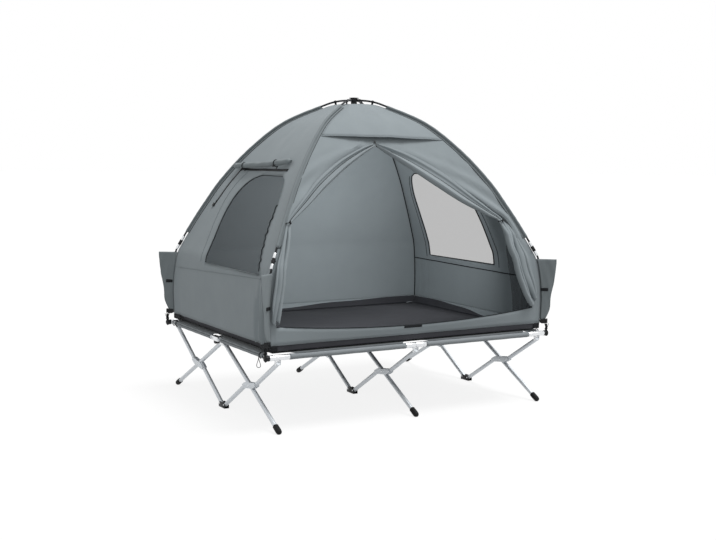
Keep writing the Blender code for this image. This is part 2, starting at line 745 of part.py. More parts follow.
def shoe(sign):
    """A rubber shoe over a straight leg's foot, cut flat where it stands."""
    top, foot = leg_line(sign, "straight")
    along = (foot - top).normalized()
    radius = LEG_RADIUS + GAP + SHOE_WALL
    solid = cylinder(foot - along * SHOE_GRIP, foot + along * SHOE_TOE, radius)
    bore = cylinder(foot - along * (SHOE_GRIP + CUT_OVERRUN), foot + along * GAP, LEG_RADIUS + GAP)
    solid = combine(solid, bore, "DIFFERENCE")
    wide = SHOE_GRIP + SHOE_TOE
    ground = block((-wide, foot.y - wide, -wide), (wide, foot.y + wide, 0.0))
    return combine(solid, ground, "DIFFERENCE")


def foot_channel():
    """A middle foot: a channel, open at the top, that both jogged legs stand in."""
    inner = LEG_RADIUS + GAP
    outer = inner + CHANNEL_WALL
    outline = ((-outer, 0.0), (outer, 0.0), (outer, CHANNEL_HEIGHT), (inner, CHANNEL_HEIGHT),
               (inner, CHANNEL_BASE), (-inner, CHANNEL_BASE), (-inner, CHANNEL_HEIGHT),
               (-outer, CHANNEL_HEIGHT))
    frame = Matrix(((1, 0, 0, 0), (0, 0, 1, 0), (0, 1, 0, 0), (0, 0, 0, 1)))
    return flat_piece(outline, CHANNEL_LENGTH, frame)


def build_legs():
    """Twelve legs in three sets, with their shoes and the middle feet."""
    aluminium = finish("anodised aluminium tube")
    rubber = finish("black rubber")
    plastic = finish("black moulded plastic")
    for name, plane in LEG_PLANES.items():
        for prefix, sign in (("front", -1), ("rear", 1)):
            for kind, maker in (("straight", straight_leg), ("jogged", jogged_leg)):
                leg = united(maker(sign))
                add_node(prefix + "_" + kind + "_leg_" + name, shift([leg], (plane, 0.0, 0.0)), aluminium,
                         prefix + "_" + kind + "_legs")
            add_node(prefix + "_foot_" + name, shift([shoe(sign)], (plane, 0.0, 0.0)), rubber,
                     prefix + "_straight_legs")
        add_node("middle_foot_" + name, shift([foot_channel()], (plane, 0.0, 0.0)), plastic, "middle_feet",
                 smooth=False)


def bar_tongue(sign, tip, tube_end):
    """A flat tongue at one end of a half bar; its broad root stands in the tube's end and leaves it open."""
    point = 1 if tip > tube_end else -1
    root = tube_end - point * BAR_PLUG_LENGTH
    broad = BAR_RADIUS - TUBE_WALL / 2
    slim = BAR_TONGUE_HEIGHT / 2
    outline = ((sign * root, -broad), (sign * tube_end, -broad), (sign * tube_end, -slim),
               (sign * tip, -slim), (sign * tip, slim), (sign * tube_end, slim), (sign * tube_end, broad),
               (sign * root, broad))
    return flat_piece(outline, BAR_TONGUE_THICKNESS, upright_frame())


def build_bars():
    """The end bars: half bars that hinge in a middle housing and reach to the rails' corner ears."""
    aluminium = finish("anodised aluminium tube")
    bright = finish("bright alloy fitting")
    tip = COT_WIDTH / 2 - COLLAR_RADIUS - BAR_END_CLEARANCE
    tube_end = tip - BAR_TONGUE_LENGTH
    slot = BAR_TONGUE_THICKNESS / 2 + 2 * GAP
    half = HOUSING_WIDTH / 2
    roof = HOUSING_TOP - HOUSING_ROOF
    outline = ((-half, -HOUSING_BOTTOM), (-slot, -HOUSING_BOTTOM), (-slot, roof), (slot, roof),
               (slot, -HOUSING_BOTTOM), (half, -HOUSING_BOTTOM), (half, HOUSING_TOP), (-half, HOUSING_TOP))
    for name, side in (("left", -1), ("right", 1)):
        place = (side * BAR_PLACE, 0.0, RAIL_HEIGHT)
        for prefix, sign in (("front", -1), ("rear", 1)):
            ends = sorted((sign * BAR_TUBE_START, sign * tube_end))
            pieces = [tube((0.0, ends[0], 0.0), (0.0, ends[1], 0.0), BAR_RADIUS, TUBE_WALL),
                      bar_tongue(sign, BAR_PIVOT - BAR_TONGUE_TIP, BAR_TUBE_START),
                      bar_tongue(sign, tip, tube_end)]
            add_node(prefix + "_end_bar_" + name, shift([united(pieces)], place), aluminium,
                     prefix + "_bars")
        frame = Matrix(((1, 0, 0, 0), (0, 0, 1, 0), (0, 1, 0, 0), (0, 0, 0, 1)))
        lock = block((-LOCK_WIDTH / 2, -LOCK_LENGTH / 2, -HOUSING_BOTTOM - LOCK_HEIGHT),
                     (LOCK_WIDTH / 2, LOCK_LENGTH / 2, RIVET_BITE - HOUSING_BOTTOM))
        housing = united([flat_piece(outline, HOUSING_LENGTH, frame), lock])
        add_node("bar_hinge_" + name, shift([housing], place), bright, "root", smooth=False)


def build_bed():
    """The bed sheet on the rails."""
    cloth = finish("dark bed cloth")
    reach_x = BAR_PLACE + SHEET_WRAP
    reach_y = COT_WIDTH / 2
    sheet = block((-reach_x, -reach_y, SHEET_BOTTOM), (reach_x, reach_y, SHEET_BOTTOM + SHEET_THICKNESS))
    add_node("bed_sheet", [sheet], cloth, "root", smooth=False)


def build_floor(dome):
    """The tent's floor: a shallow tray whose rim laps inside the walls."""
    cloth = finish("dark floor cloth")
    top = FLOOR_BOTTOM + FLOOR_RISE
    radius = dome.at_height(top, out=-WALL_THICKNESS - 2 * GAP)[0]
    bm = bmesh.new()
    bmesh.ops.create_cone(bm, cap_ends=True, segments=4, radius1=1.0, radius2=1.0, depth=1.0)
    for vert in bm.verts:
        high = vert.co.z > 0
        inset = 0.0 if high else FLOOR_EDGE
        angle = round(math.degrees(math.atan2(vert.co.y, vert.co.x)) / 90.0) % 4
        sign_x, sign_y = ((1, 1), (-1, 1), (-1, -1), (1, -1))[angle]
        vert.co = (sign_x * (radius * SHARE_X - inset), sign_y * (radius * SHARE_Y - inset),
                   top if high else FLOOR_BOTTOM)
    bmesh.ops.recalc_face_normals(bm, faces=bm.faces)
    lids = [face for face in bm.faces if face.calc_center_median().z > top - FLOOR_THICKNESS]
    bmesh.ops.delete(bm, geom=lids, context="FACES_ONLY")
    add_node("tent_floor", [thicken(from_bmesh(bm), FLOOR_THICKNESS, -1.0)], cloth, "tent", smooth=False)


def door_edges(height):
    """The doorway's two edges at a height, as shares of the front wall's half width."""
    heights = arch_heights(DOOR_HEIGHT_SHARES)
    left = np.interp(height, heights, DOOR_LEFT_SHARES)
    right = np.interp(height, heights, DOOR_RIGHT_SHARES)
    return float(left), float(right)


def window_edges(height, turned):
    """The window's edges at a height; the right wall's window is the left one's, turned round."""
    heights = arch_heights(WINDOW_HEIGHT_SHARES)
    near = float(np.interp(height, heights, WINDOW_NEAR_SHARES))
    far = float(np.interp(height, heights, WINDOW_FAR_SHARES))
    return (-far, -near) if turned else (near, far)


def build_walls(dome):
    """The four walls, each a closed cloth panel between two diagonals, with its real openings."""
    cloth = finish("grey coated cloth")
    side_cloth = finish("shaded grey cloth")
    heights = side_rows()
    window = arch_heights(WINDOW_HEIGHT_SHARES)
    first, last = heights.index(window[0]), heights.index(window[-1])
    for side in ("left", "right", "back"):
        plain = side == "back"

        def columns(base, plain=plain, turned=side == "right"):
            if plain:
                return (-1.0, 1.0)
            return (-1.0, *window_edges(base[1], turned), 1.0)

        def kept(row, column, plain=plain):
            return plain or column != 1 or not first <= row < last

        outer = wall_grid(side, dome, heights, columns, 0.0)
        inner = wall_grid(side, dome, heights, columns, -WALL_THICKNESS)
        shade = cloth if plain else side_cloth
        add_node(side + "_wall", [cloth_between(outer, inner, kept)], shade, "tent")
    build_front(dome, cloth)
    build_windows(dome)


def build_front(dome, cloth):
    """The front wall with its doorway, and the sill under it."""
    heights = front_rows()
    door = arch_heights(DOOR_HEIGHT_SHARES)
    first, last = heights.index(door[0]), heights.index(door[-1])

    def columns(base):
        return (-1.0, *door_edges(base[1]), 1.0)

    outer = wall_grid("front", dome, heights, columns, 0.0)
    inner = wall_grid("front", dome, heights, columns, -WALL_THICKNESS)
    panel = cloth_between(outer, inner, lambda row, column: column != 1 or not first <= row < last)
    add_node("front_wall", [panel], cloth, "tent")


def build_windows(dome):
    """Insect mesh in each side window, and the rolled cover tied above it."""
    mesh = finish("insect mesh")
    side_cloth = finish("shaded grey cloth")
    window = arch_heights(WINDOW_HEIGHT_SHARES)
    bottom, top = window[0], window[-1]
    heights = side_rows()
    rows = [bottom + GAP] + [height for height in heights if bottom < height < top] + [top - GAP]
    for side in ("left", "right"):
        turned = side == "right"

        def columns(base, turned=turned, side=side):
            near, far = window_edges(base[1], turned)
            inset = 2 * GAP / half_width(side, base[0])
            return near + inset, far - inset

        outer = wall_grid(side, dome, rows, columns, -GAP, crown=())
        inner = wall_grid(side, dome, rows, columns, -GAP - WINDOW_MESH_THICKNESS, crown=())
        net = cloth_between(outer, inner, lambda row, column: True)
        add_node("window_mesh_" + side, [net], mesh, "tent")
        ends = []
        for share, height_share in ROLL_END_SHARES:
            height = arch_height(height_share)
            lean = facet_normal(side, dome, height, heights) * (ROLL_RADIUS + 2 * GAP)
            ends.append(on_wall(side, *dome.on_facet(height, heights), -share if turned else share) + lean)
        add_node("window_roll_" + side, [cylinder(*ends, ROLL_RADIUS)], side_cloth, "tent")


def build_visor(dome):
    """The visor over the door: a second layer that stands off the front wall at its lower edge."""
    cloth = finish("grey coated cloth")
    radii = (dome.at_height(arch_height(VISOR_EDGE_SHARE))[0],) + UPPER_ROWS
    grids = []
    for thickness in (WALL_THICKNESS, 0.0):
        rows = []
        for radius in radii:
            down = (radius - radii[-1]) / (radii[0] - radii[-1])
            limit = 1 - VISOR_SIDE / half_width("front", radius)
            points = []
            for column in range(VISOR_COLUMNS + 1):
                across = 2 * column / VISOR_COLUMNS - 1
                lift = VISOR_BASE + VISOR_LIFT * (1 - across ** 2) * down ** 2 + thickness
                points.append(on_wall("front", *dome.at_radius(radius, out=lift), limit * across))
            rows.append(points)
        grids.append(rows)
    add_node("visor", [cloth_between(*grids, lambda row, column: True)], cloth, "tent")


def build_flaps(dome):
    """The door's two halves, drawn along the door's edges to their ties and hanging from there."""
    cloth = finish("grey coated cloth")
    places = arch_heights(FLAP_HEIGHT_SHARES)
    top, bottom = places[0], places[-1]
    wall_rows = front_rows()
    shared = [height for height in wall_rows if bottom < height < top]
    heights = sorted({*np.linspace(top, bottom, FLAP_ROWS), *shared}, reverse=True)
    drops = -np.array(places)
    for side, out, shares, widths in (("left", -1, FLAP_LEFT_SHARES, FLAP_LEFT_WIDTHS),
                                      ("right", 1, FLAP_RIGHT_SHARES, FLAP_RIGHT_WIDTHS)):
        edge = [on_wall("front", *dome.on_facet(height, wall_rows), np.interp(-height, drops, shares))
                for height in heights]
        rows = []
        for index, start in enumerate(edge):
            width = np.interp(-heights[index], drops, widths)
            before, after = edge[max(index - 1, 0)], edge[min(index + 1, len(edge) - 1)]
            lean = facet_normal("front", dome, heights[index], wall_rows)
            across = lean.cross(after - before).normalized()
            across = across if across.x * out > 0 else -across
            row = []
            for fold in range(FLAP_FOLDS + 1):
                depth = FLAP_STAND + (FLAP_DEPTH_SHARE * width if fold % 2 else 0.0)
                row.append(start + across * width * fold / FLAP_FOLDS + lean * depth)
            rows.append(row)
        add_node("door_flap_" + side, [thicken(quad_sheet(rows), FLAP_CLOTH, 0.0)], cloth, "tent")


def pole_points(dome, first, last, sign_x, sign_y):
    """Points along a pole between two places of the outline."""
    places = list(range(first, last, POLE_STEP)) + [last]
    return [along_diagonal(dome.pole[place], sign_x, sign_y) for place in places]


def build_poles(dome):
    """The four poles, each with its elbow's knuckle between two ferrules."""
    rod = finish("dark pole")
    half = KNUCKLE_LENGTH / 2
    thick = POLE_RADIUS + FERRULE_WALL
    for name, sign_x, sign_y in corners():
        upper = pole_points(dome, 0, dome.elbow, sign_x, sign_y)
        lower = pole_points(dome, dome.elbow, dome.foot, sign_x, sign_y)
        reach = half + FERRULE_LENGTH
        stretches = [(cut_line(upper, HUB_RADIUS + GAP, -reach), POLE_RADIUS),
                     (tail(upper, reach, half), thick),
                     (tail(upper, half, 0.0) + cut_line(lower, 0.0, half)[1:], KNUCKLE_RADIUS),
                     (cut_line(lower, half, reach), thick),
                     (cut_line(lower, reach, 0.0), POLE_RADIUS)]
        points, radii = [], []
        for stretch, radius in stretches:
            line = stretch
            if points:
                line = [stretch[0] + (stretch[1] - stretch[0]).normalized() * GAP] + stretch[1:]
            points += line
            radii += [radius] * len(line)
        add_node(name + "_pole", [rod_along(points, radii, POLE_RINGS)], rod, "tent")


def build_covers(dome):
    """The corner covers: a folded fin round each lower pole, on the buckle block where the pole stands."""
    cloth = finish("shaded grey cloth")
    half = POLE_RADIUS + COVER_EASE + COVER_CLOTH / 2
    for name, sign_x, sign_y in corners():
        rows = []
        reaches = (COVER_END_REACH, COVER_SIDE_REACH)
        right, left = reaches if sign_x * sign_y > 0 else reversed(reaches)
        for height, tip in zip(arch_heights(COVER_HEIGHT_SHARES), COVER_TIPS):
            pole = dome.pole_at_height(height)
            section = ((-right, half), (POLE_RADIUS, half), (tip, COVER_TIP),
                       (tip, -COVER_TIP), (POLE_RADIUS, -half), (-left, -half))
            rows.append([along_diagonal((pole + out, height), sign_x, sign_y, across)
                         for out, across in section])
        fin = thicken(quad_sheet(rows), COVER_CLOTH, 0.0)
        corner = max(dome.at_height(BUCKLE_BOTTOM)[0], dome.at_height(POLE_FOOT_HEIGHT)[0]) + 2 * GAP
        buckle = block((corner, -BUCKLE_WIDTH / 2, BUCKLE_BOTTOM),
                       (corner + BUCKLE_LENGTH, BUCKLE_WIDTH / 2, POLE_FOOT_HEIGHT - GAP),
                       diagonal_frame(sign_x, sign_y))
        add_node(name + "_corner", [fin, buckle], cloth, "tent", smooth=False)


def build_hub(dome, plastic):
    """The hub where the poles meet: its body with the base that holds the canopy's crown, and its cap."""
    top = HUB_HEIGHT + POLE_RADIUS + HUB_BODY_TOP
    low = top - HUB_BODY_HEIGHT
    seat = dome.at_radius(CROWN_RADIUS)[1] + 2 * GAP
    cap = cylinder((0.0, 0.0, top + GAP), (0.0, 0.0, top + GAP + HUB_CAP_HEIGHT), HUB_CAP_RADIUS,
                   end_radius=HUB_CAP_RIM)
    body = cylinder((0.0, 0.0, seat), (0.0, 0.0, top), HUB_RADIUS)
    base = cylinder((0.0, 0.0, seat), (0.0, 0.0, low), HUB_BASE_RADIUS)
    add_node("hub_cap", [cap], plastic, "tent")
    add_node("hub_body", [united([body, base])], plastic, "tent")


def pull_frame(dome, side, height, share, heights):
    """Where a zip's slider sits on its wall, the wall's outward direction there and the way down it."""
    lean = facet_normal(side, dome, height, heights)
    place = on_wall(side, *dome.on_facet(height, heights), share)
    level = Vector((0.0, 1.0, 0.0)) if side == "left" else Vector((1.0, 0.0, 0.0))
    down = lean.cross(level)
    return place, lean, down if down.z < 0 else -down


def window_pull_frame(dome):
    """The frame of the left window's zip pull."""
    return pull_frame(dome, "left", arch_height(WINDOW_PULL_HEIGHT_SHARE), WINDOW_PULL_SHARE, side_rows())


def door_pull_frame(dome):
    """The frame of the door's zip pull."""
    height = arch_height(DOOR_HEIGHT_SHARES[-1]) + DOOR_PULL_LIFT
    return pull_frame(dome, "front", height, DOOR_APEX_SHARE, front_rows())


def zip_pull(place, lean, down):
    """A slider with its pull hanging from it, standing off a cloth face."""
    across = down.cross(lean).normalized()
    frame = Matrix.Identity(4)
    for row in range(3):
        frame[row][0], frame[row][1] = across[row], down[row]
        frame[row][2], frame[row][3] = lean[row], place[row]
    low = 2 * GAP
    high = low + SLIDER_THICKNESS
    slider = block((-SLIDER_WIDTH / 2, -SLIDER_LENGTH / 2, low), (SLIDER_WIDTH / 2, SLIDER_LENGTH / 2, high),
                   frame)
    tab = block((-PULL_WIDTH / 2, 0.0, low + GAP),
                (PULL_WIDTH / 2, SLIDER_LENGTH / 2 + PULL_LENGTH, low + PULL_THICKNESS), frame)
    return [united([slider, tab])]


def build_pulls(dome, plastic):
    """The left window's zip pull and the pull at the door's top."""
    add_node("window_zip_pull", zip_pull(*window_pull_frame(dome)), plastic, "window_pull", smooth=False)
    add_node("door_zip_pull", zip_pull(*door_pull_frame(dome)), plastic, "door_pull", smooth=False)


def add_pivots(dome):
    """One empty for each body, on its joint's axis."""
    add_pivot("root", (0.0, 0.0, 0.0))
    add_pivot("middle_feet", (0.0, -PIVOT_SPREAD, FOOT_PIVOT_HEIGHT))
    for prefix, sign in (("front", -1), ("rear", 1)):
        add_pivot(prefix + "_straight_legs", (0.0, sign * PIVOT_SPREAD, TOP_PIVOT))
        add_pivot(prefix + "_jogged_legs", (0.0, sign * CROSSING.y, CROSSING.z))
        add_pivot(prefix + "_rail", (0.0, sign * COT_WIDTH / 2, TOP_PIVOT))
        add_pivot(prefix + "_bars", (0.0, sign * BAR_PIVOT, RAIL_HEIGHT))
    add_pivot("tent", (0.0, 0.0, FLOOR_BOTTOM))
    add_pivot("window_pull", window_pull_frame(dome)[0])
    place, lean, down = door_pull_frame(dome)
    add_pivot("door_pull", place + lean * 2 * GAP - down * SLIDER_LENGTH / 2)


def main():
    """Build the whole part."""
    global PARTS
    clear_scene()
    PARTS = make_collection("Tent_Cot")
    dome = Dome()
    add_pivots(dome)
    rails = (("centre_rail", 0.0, "root", PIVOT_SPREAD, 0),
             ("front_rail", -COT_WIDTH / 2, "front_rail", 0.0, 1),
             ("rear_rail", COT_WIDTH / 2, "rear_rail", 0.0, -1))
    for name, across, body, spread, bar_side in rails:
        build_rail(name, across, body, spread, bar_side)
    build_corner_hooks("front", -1, "front_rail")
    build_corner_hooks("rear", 1, "rear_rail")
    build_legs()
    build_bars()
    build_bed()
    build_floor(dome)
    build_walls(dome)
    build_visor(dome)
    build_flaps(dome)
    build_poles(dome)
    build_covers(dome)
    plastic = finish("black moulded plastic")
    build_hub(dome, plastic)
    build_pulls(dome, plastic)


main()
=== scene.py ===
"""Looks of a two-person tent cot: a folding cot on three scissor leg sets with a dome tent on it.

Metres, +Z up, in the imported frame's own place: X runs along the long side and the door faces -Y.
"""
import logging
import math
from dataclasses import dataclass, field
from enum import Enum
from typing import Callable, Iterable, Sequence

import bmesh
import bpy
import numpy as np
from mathutils import Matrix, Vector


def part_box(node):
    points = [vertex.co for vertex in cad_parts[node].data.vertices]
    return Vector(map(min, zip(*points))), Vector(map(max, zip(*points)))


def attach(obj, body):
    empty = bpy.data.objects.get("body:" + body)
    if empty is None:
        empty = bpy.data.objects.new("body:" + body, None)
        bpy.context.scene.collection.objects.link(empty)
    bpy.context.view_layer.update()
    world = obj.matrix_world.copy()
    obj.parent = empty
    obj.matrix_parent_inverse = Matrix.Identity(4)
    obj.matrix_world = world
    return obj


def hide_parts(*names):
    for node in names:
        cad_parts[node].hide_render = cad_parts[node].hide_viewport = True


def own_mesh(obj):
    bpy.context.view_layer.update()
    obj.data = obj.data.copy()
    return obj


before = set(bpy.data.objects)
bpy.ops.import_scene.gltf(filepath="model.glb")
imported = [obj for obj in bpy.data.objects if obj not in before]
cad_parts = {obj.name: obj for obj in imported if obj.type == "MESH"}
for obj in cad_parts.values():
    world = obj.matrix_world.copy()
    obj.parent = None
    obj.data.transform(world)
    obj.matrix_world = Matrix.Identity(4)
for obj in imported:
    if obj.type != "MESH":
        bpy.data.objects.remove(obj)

LOG = logging.getLogger("tent_cot")
UV = "UVMap"
MM = 0.001
# A wave texture of this scale has one band to a metre
WAVE_PERIOD = 0.31416
UP = Vector((0.0, 0.0, 1.0))
ALONG = Vector((1.0, 0.0, 0.0))
HEART = Vector((0.0, 0.0, 0.9))
Mesh = bmesh.types.BMesh
Socket = bpy.types.NodeSocket

# Sizes shared by several sub-assemblies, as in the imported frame
COT_LENGTH = 1.96
COT_WIDTH = 1.50
CAP_LENGTH = 0.030
CAP_RADIUS = 0.0165
RAIL_HEIGHT = 0.427
RAIL_RADIUS = 0.0135
COLLAR_RADIUS = 0.0158
SLEEVE_RADIUS = 0.0165
LEG_RADIUS = 0.0125
LEG_PLANE = 0.896
LEG_SPREAD = 0.030
PLAY = 0.0003
BAR_PLACE = 0.94
SHEET_TOP = 0.4468
FLOOR_LEVEL = 0.4471
POLE_RADIUS = 0.006
CORNER_REACH = math.hypot(COT_LENGTH - CAP_LENGTH, COT_WIDTH) / 2
SHARE_X = (COT_LENGTH - CAP_LENGTH) / 2 / CORNER_REACH
SHARE_Y = COT_WIDTH / 2 / CORNER_REACH


class Named(Enum):
    """A choice whose name is part of its pieces' names."""

    @property
    def label(self) -> str:
        """The name in small letters."""
        return self.name.lower()


class Half(Named):
    """The cot's two halves, as signs of Y."""

    FRONT = -1
    REAR = 1

    @property
    def out(self) -> Vector:
        """The level direction away from the cot's middle line."""
        return Vector((0.0, float(self.value), 0.0))


class Hand(Named):
    """Left and right, as signs of X."""

    LEFT = -1
    RIGHT = 1


class Side(Named):
    """The tent's four walls, each with its outward direction."""

    FRONT = (0.0, -1.0)
    BACK = (0.0, 1.0)
    LEFT = (-1.0, 0.0)
    RIGHT = (1.0, 0.0)

    @property
    def outward(self) -> Vector:
        """The level direction out of the wall."""
        return Vector((*self.value, 0.0))

    @property
    def along(self) -> Vector:
        """The level direction in which a share of the wall's width grows."""
        return Vector((abs(self.value[1]), abs(self.value[0]), 0.0))

    @property
    def depth(self) -> float:
        """How far the wall stands out for each metre of the outline's reach."""
        return SHARE_Y if self.value[1] else SHARE_X

    @property
    def half(self) -> float:
        """Half the wall's width for each metre of the outline's reach."""
        return SHARE_X if self.value[1] else SHARE_Y


class Corner(Named):
    """The four diagonals, as the signs of X and Y."""

    FRONT_LEFT = (-1, -1)
    FRONT_RIGHT = (1, -1)
    REAR_LEFT = (-1, 1)
    REAR_RIGHT = (1, 1)

    @property
    def rail(self) -> str:
        """The body of the rail under this corner."""
        return f"{Half(self.value[1]).label}_rail"

    @property
    def walls(self) -> tuple[Side, Side]:
        """The long wall and the short wall that meet here."""
        return Side((0.0, float(self.value[1]))), Side((float(self.value[0]), 0.0))

    @property
    def outward(self) -> Vector:
        """The level direction out along the diagonal."""
        return Vector((self.value[0] * SHARE_X, self.value[1] * SHARE_Y, 0.0))

    @property
    def across(self) -> Vector:
        """The level direction across the diagonal."""
        return UP.cross(self.outward)


# Materials


def linear(code: str) -> tuple[float, float, float, float]:
    """Turns an sRGB hex colour into the linear one that shaders take.

    Args:
        code: Six hex digits after a hash.

    Returns:
        Red, green, blue and an alpha of one.
    """
    parts = [int(code[at:at + 2], 16) / 255 for at in (1, 3, 5)]
    return (*(part / 12.92 if part <= 0.04045 else ((part + 0.055) / 1.055) ** 2.4 for part in parts), 1.0)


def put(tree: bpy.types.NodeTree, kind: str, settings: dict, sockets: dict) -> bpy.types.Node:
    """Adds a node with its settings and links.

    Args:
        tree: The material's or world's tree.
        kind: The node's type, without its leading ShaderNode.
        settings: Properties of the node.
        sockets: Values or output sockets for its inputs, by name or number.

    Returns:
        The node.
    """
    node = tree.nodes.new("ShaderNode" + kind)
    for key, value in settings.items():
        setattr(node, key, value)
    for key, value in sockets.items():
        if isinstance(value, Socket):
            tree.links.new(value, node.inputs[key])
        else:
            node.inputs[key].default_value = value
    return node


class Grain(Enum):
    """How a surface was made, which gives its fine relief."""

    MOULDED = "the even grain of a mould"
    DRAWN = "lines along a drawn tube, which stretch its highlights"
    RIBBED = "ribs across a tape, a zip coil or webbing"
    WOVEN = "a grid of threads over soft creases"


@dataclass(frozen=True)
class Finish:
    """A finish: its real material's name, the record's slot, its two tones, and its surface in millimetres."""

    name: str
    slot: str
    tone: str
    worn: str
    roughness: float
    grain: Grain = Grain.MOULDED
    pitch: float = 0.8
    depth: float = 0.05
    strength: float = 0.35
    gloss: float = 0.25
    metallic: float = 0.0
    sheen: float = 0.0
    cover: float = 1.0
    mottle: float = 120.0
    crease: float = 190.0
    crease_depth: float = 7.0

    def material(self) -> bpy.types.Material:
        """The finish's material, made once: its two tones drift into each other over the mottle's size.

        Returns:
            The material.
        """
        found = bpy.data.materials.get(self.name)
        if found:
            return found
        material = bpy.data.materials.new(self.name)
        material.use_nodes = True
        tree = material.node_tree
        tree.nodes.clear()
        place = put(tree, "TexCoord", {}, {}).outputs["Object"]
        drift = put(tree, "TexNoise", {}, {"Vector": place, "Scale": 1 / (self.mottle * MM), "Detail": 3.0})
        tones = put(tree, "Mix", {"data_type": "RGBA"},
                    {0: drift.outputs["Fac"], 6: linear(self.tone), 7: linear(self.worn)})
        shader = put(tree, "BsdfPrincipled", {}, {
            "Base Color": tones.outputs[2], "Normal": self.relief(tree, place), "Roughness": self.roughness,
            "Metallic": self.metallic, "Specular IOR Level": self.gloss, "Sheen Weight": self.sheen,
            "Alpha": self.cover})
        put(tree, "OutputMaterial", {}, {"Surface": shader.outputs[0]})
        return material

    def relief(self, tree: bpy.types.NodeTree, place: Socket) -> Socket:
        """The surface's fine relief.

        Args:
            tree: The material's tree.
            place: Where the surface is, in metres.

        Returns:
            The normal's socket.
        """
        rate = 1 / (self.pitch * MM)
        bump = {"Strength": self.strength, "Distance": self.depth * MM}
        if self.grain is Grain.MOULDED:
            fine = put(tree, "TexNoise", {}, {"Vector": place, "Scale": rate, "Detail": 2.0})
            return put(tree, "Bump", {}, {**bump, "Height": fine.outputs["Fac"]}).outputs[0]
        flat = put(tree, "UVMap", {"uv_map": UV}, {}).outputs[0]
        if self.grain is Grain.DRAWN:
            stretched = put(tree, "Mapping", {}, {"Vector": flat, "Scale": (rate, 8.0, 1.0)}).outputs[0]
            fine = put(tree, "TexNoise", {}, {"Vector": stretched, "Scale": 1.0, "Detail": 2.0})
            return put(tree, "Bump", {}, {**bump, "Height": fine.outputs["Fac"]}).outputs[0]
        ribs, *warp = (put(tree, "TexWave", {"wave_type": "BANDS", "bands_direction": way},
                           {"Vector": flat, "Scale": WAVE_PERIOD * rate}).outputs["Fac"]
                       for way in ("Y" if self.grain is Grain.RIBBED else "YX"))
        if self.grain is Grain.RIBBED:
            return put(tree, "Bump", {}, {**bump, "Height": ribs}).outputs[0]
        threads = put(tree, "Math", {"operation": "MULTIPLY"}, {0: warp[0], 1: ribs}).outputs[0]
        creases = put(tree, "TexNoise", {}, {"Vector": place, "Scale": 1 / (self.crease * MM), "Detail": 4.0,
                                              "Roughness": 0.45})
        soft = put(tree, "Bump", {}, {"Strength": 0.5, "Distance": self.crease_depth * MM,
                                      "Height": creases.outputs["Fac"]})
        return put(tree, "Bump", {}, {**bump, "Height": threads, "Normal": soft.outputs[0]}).outputs[0]


@dataclass(frozen=True)
class WovenCloth(Finish):
    """Coated polyester in plain weave: dull, with a low gloss from its coating and sheen from its fibres.

    The real threads are about 0.3 mm apart, too fine to show, so they are drawn a pitch apart.
    """

    grain: Grain = Grain.WOVEN
    pitch: float = 1.6
    depth: float = 0.12
    strength: float = 0.5
    gloss: float = 0.35
    sheen: float = 0.12


@dataclass(frozen=True)
class DrawnMetal(Finish):
    """Drawn or tumbled aluminium, with the metal's own gloss."""

    grain: Grain = Grain.DRAWN
    pitch: float = 0.9
    depth: float = 0.03
    strength: float = 0.4
    gloss: float = 0.5


@dataclass(frozen=True)
class RibbedTape(Finish):
    """Woven tape, zip coil or webbing, whose ribs scatter nearly all gloss."""

    grain: Grain = Grain.RIBBED
    pitch: float = 2.0
    depth: float = 0.3
    strength: float = 0.6
    gloss: float = 0.2


# Coated polyester taffeta: soft, nearly matt cool grey that brightens where it faces the light
CANOPY = WovenCloth("polyester taffeta canopy cloth", "grey_cloth", "#8b9498", "#929b9f", 0.78)
# The same canopy cloth painted a shade darker for the shade on the shorter walls; used on their trims and rolled
# covers
SHADED_CANOPY = WovenCloth("polyester taffeta side cloth", "shaded_cloth", "#7d8689", "#838c8f", 0.8)
# Doubled cloth of the pole sleeves and corner pockets: darker, with a tighter grain
SLEEVE = WovenCloth("doubled polyester sleeve cloth", "shaded_cloth", "#788083", "#80888b", 0.82, pitch=1.2,
                    crease=40.0, crease_depth=1.0)
# Oxford cloth of the bed: coarse, flat grey weave, painted darker than the sleeves' copy of it for the shade under
# the tent
OXFORD_PAINTED_SHADE = WovenCloth("oxford bed cloth", "dark_bed_cloth", "#5d6265", "#64696c", 0.86, pitch=2.2, depth=0.25,
                    crease=60.0, crease_depth=1.2)
# The same cloth drawn tight round the tubes, in its unshaded tone; the bed's copy is the one painted darker
TIGHT = WovenCloth("stretched oxford sleeve cloth", "dark_bed_cloth", "#8a9094", "#92989c", 0.84, pitch=2.2,
                   depth=0.2, crease=45.0, crease_depth=0.8)
# Laminated floor cloth: dark and dull, with broad soft creases
FLOOR = WovenCloth("laminated floor cloth", "dark_bed_cloth", "#333439", "#3d3e43", 0.75, sheen=0.03,
                   crease=110.0, crease_depth=5.0)
# Knitted insect net: mostly holes, so what lies behind shows through it, dimmed
NET = WovenCloth("polyester insect net", "insect_mesh", "#1f2023", "#26272b", 0.9, pitch=2.4, gloss=0.2, sheen=0.0,
                 cover=0.31)
# Cut binding tape on seams, nearly black
BINDING = RibbedTape("woven polyester binding tape", "black_plastic", "#1e2124", "#272a2d", 0.8, pitch=1.5)
# Nylon coil zip: black, with ribs that catch the light
ZIP = RibbedTape("nylon coil zip", "black_plastic", "#17191b", "#222427", 0.5, pitch=2.4, depth=0.6)
# Polyester webbing: black, ribbed
WEBBING = RibbedTape("woven polyester webbing", "black_plastic", "#17181a", "#212326", 0.75, pitch=2.2)
# Hook-and-loop tape: black pile
LOOP_TAPE = Finish("hook and loop tape", "black_plastic", "#1b1d20", "#2a2c2f", 0.95, pitch=1.6, depth=0.6)
# Anodised drawn aluminium tube: matt silver with long soft highlights, since the oxide layer scatters light
TUBE = DrawnMetal("anodised drawn aluminium", "aluminium_tube", "#ced3d8", "#d9dde0", 0.58, metallic=0.7,
                  mottle=260.0)
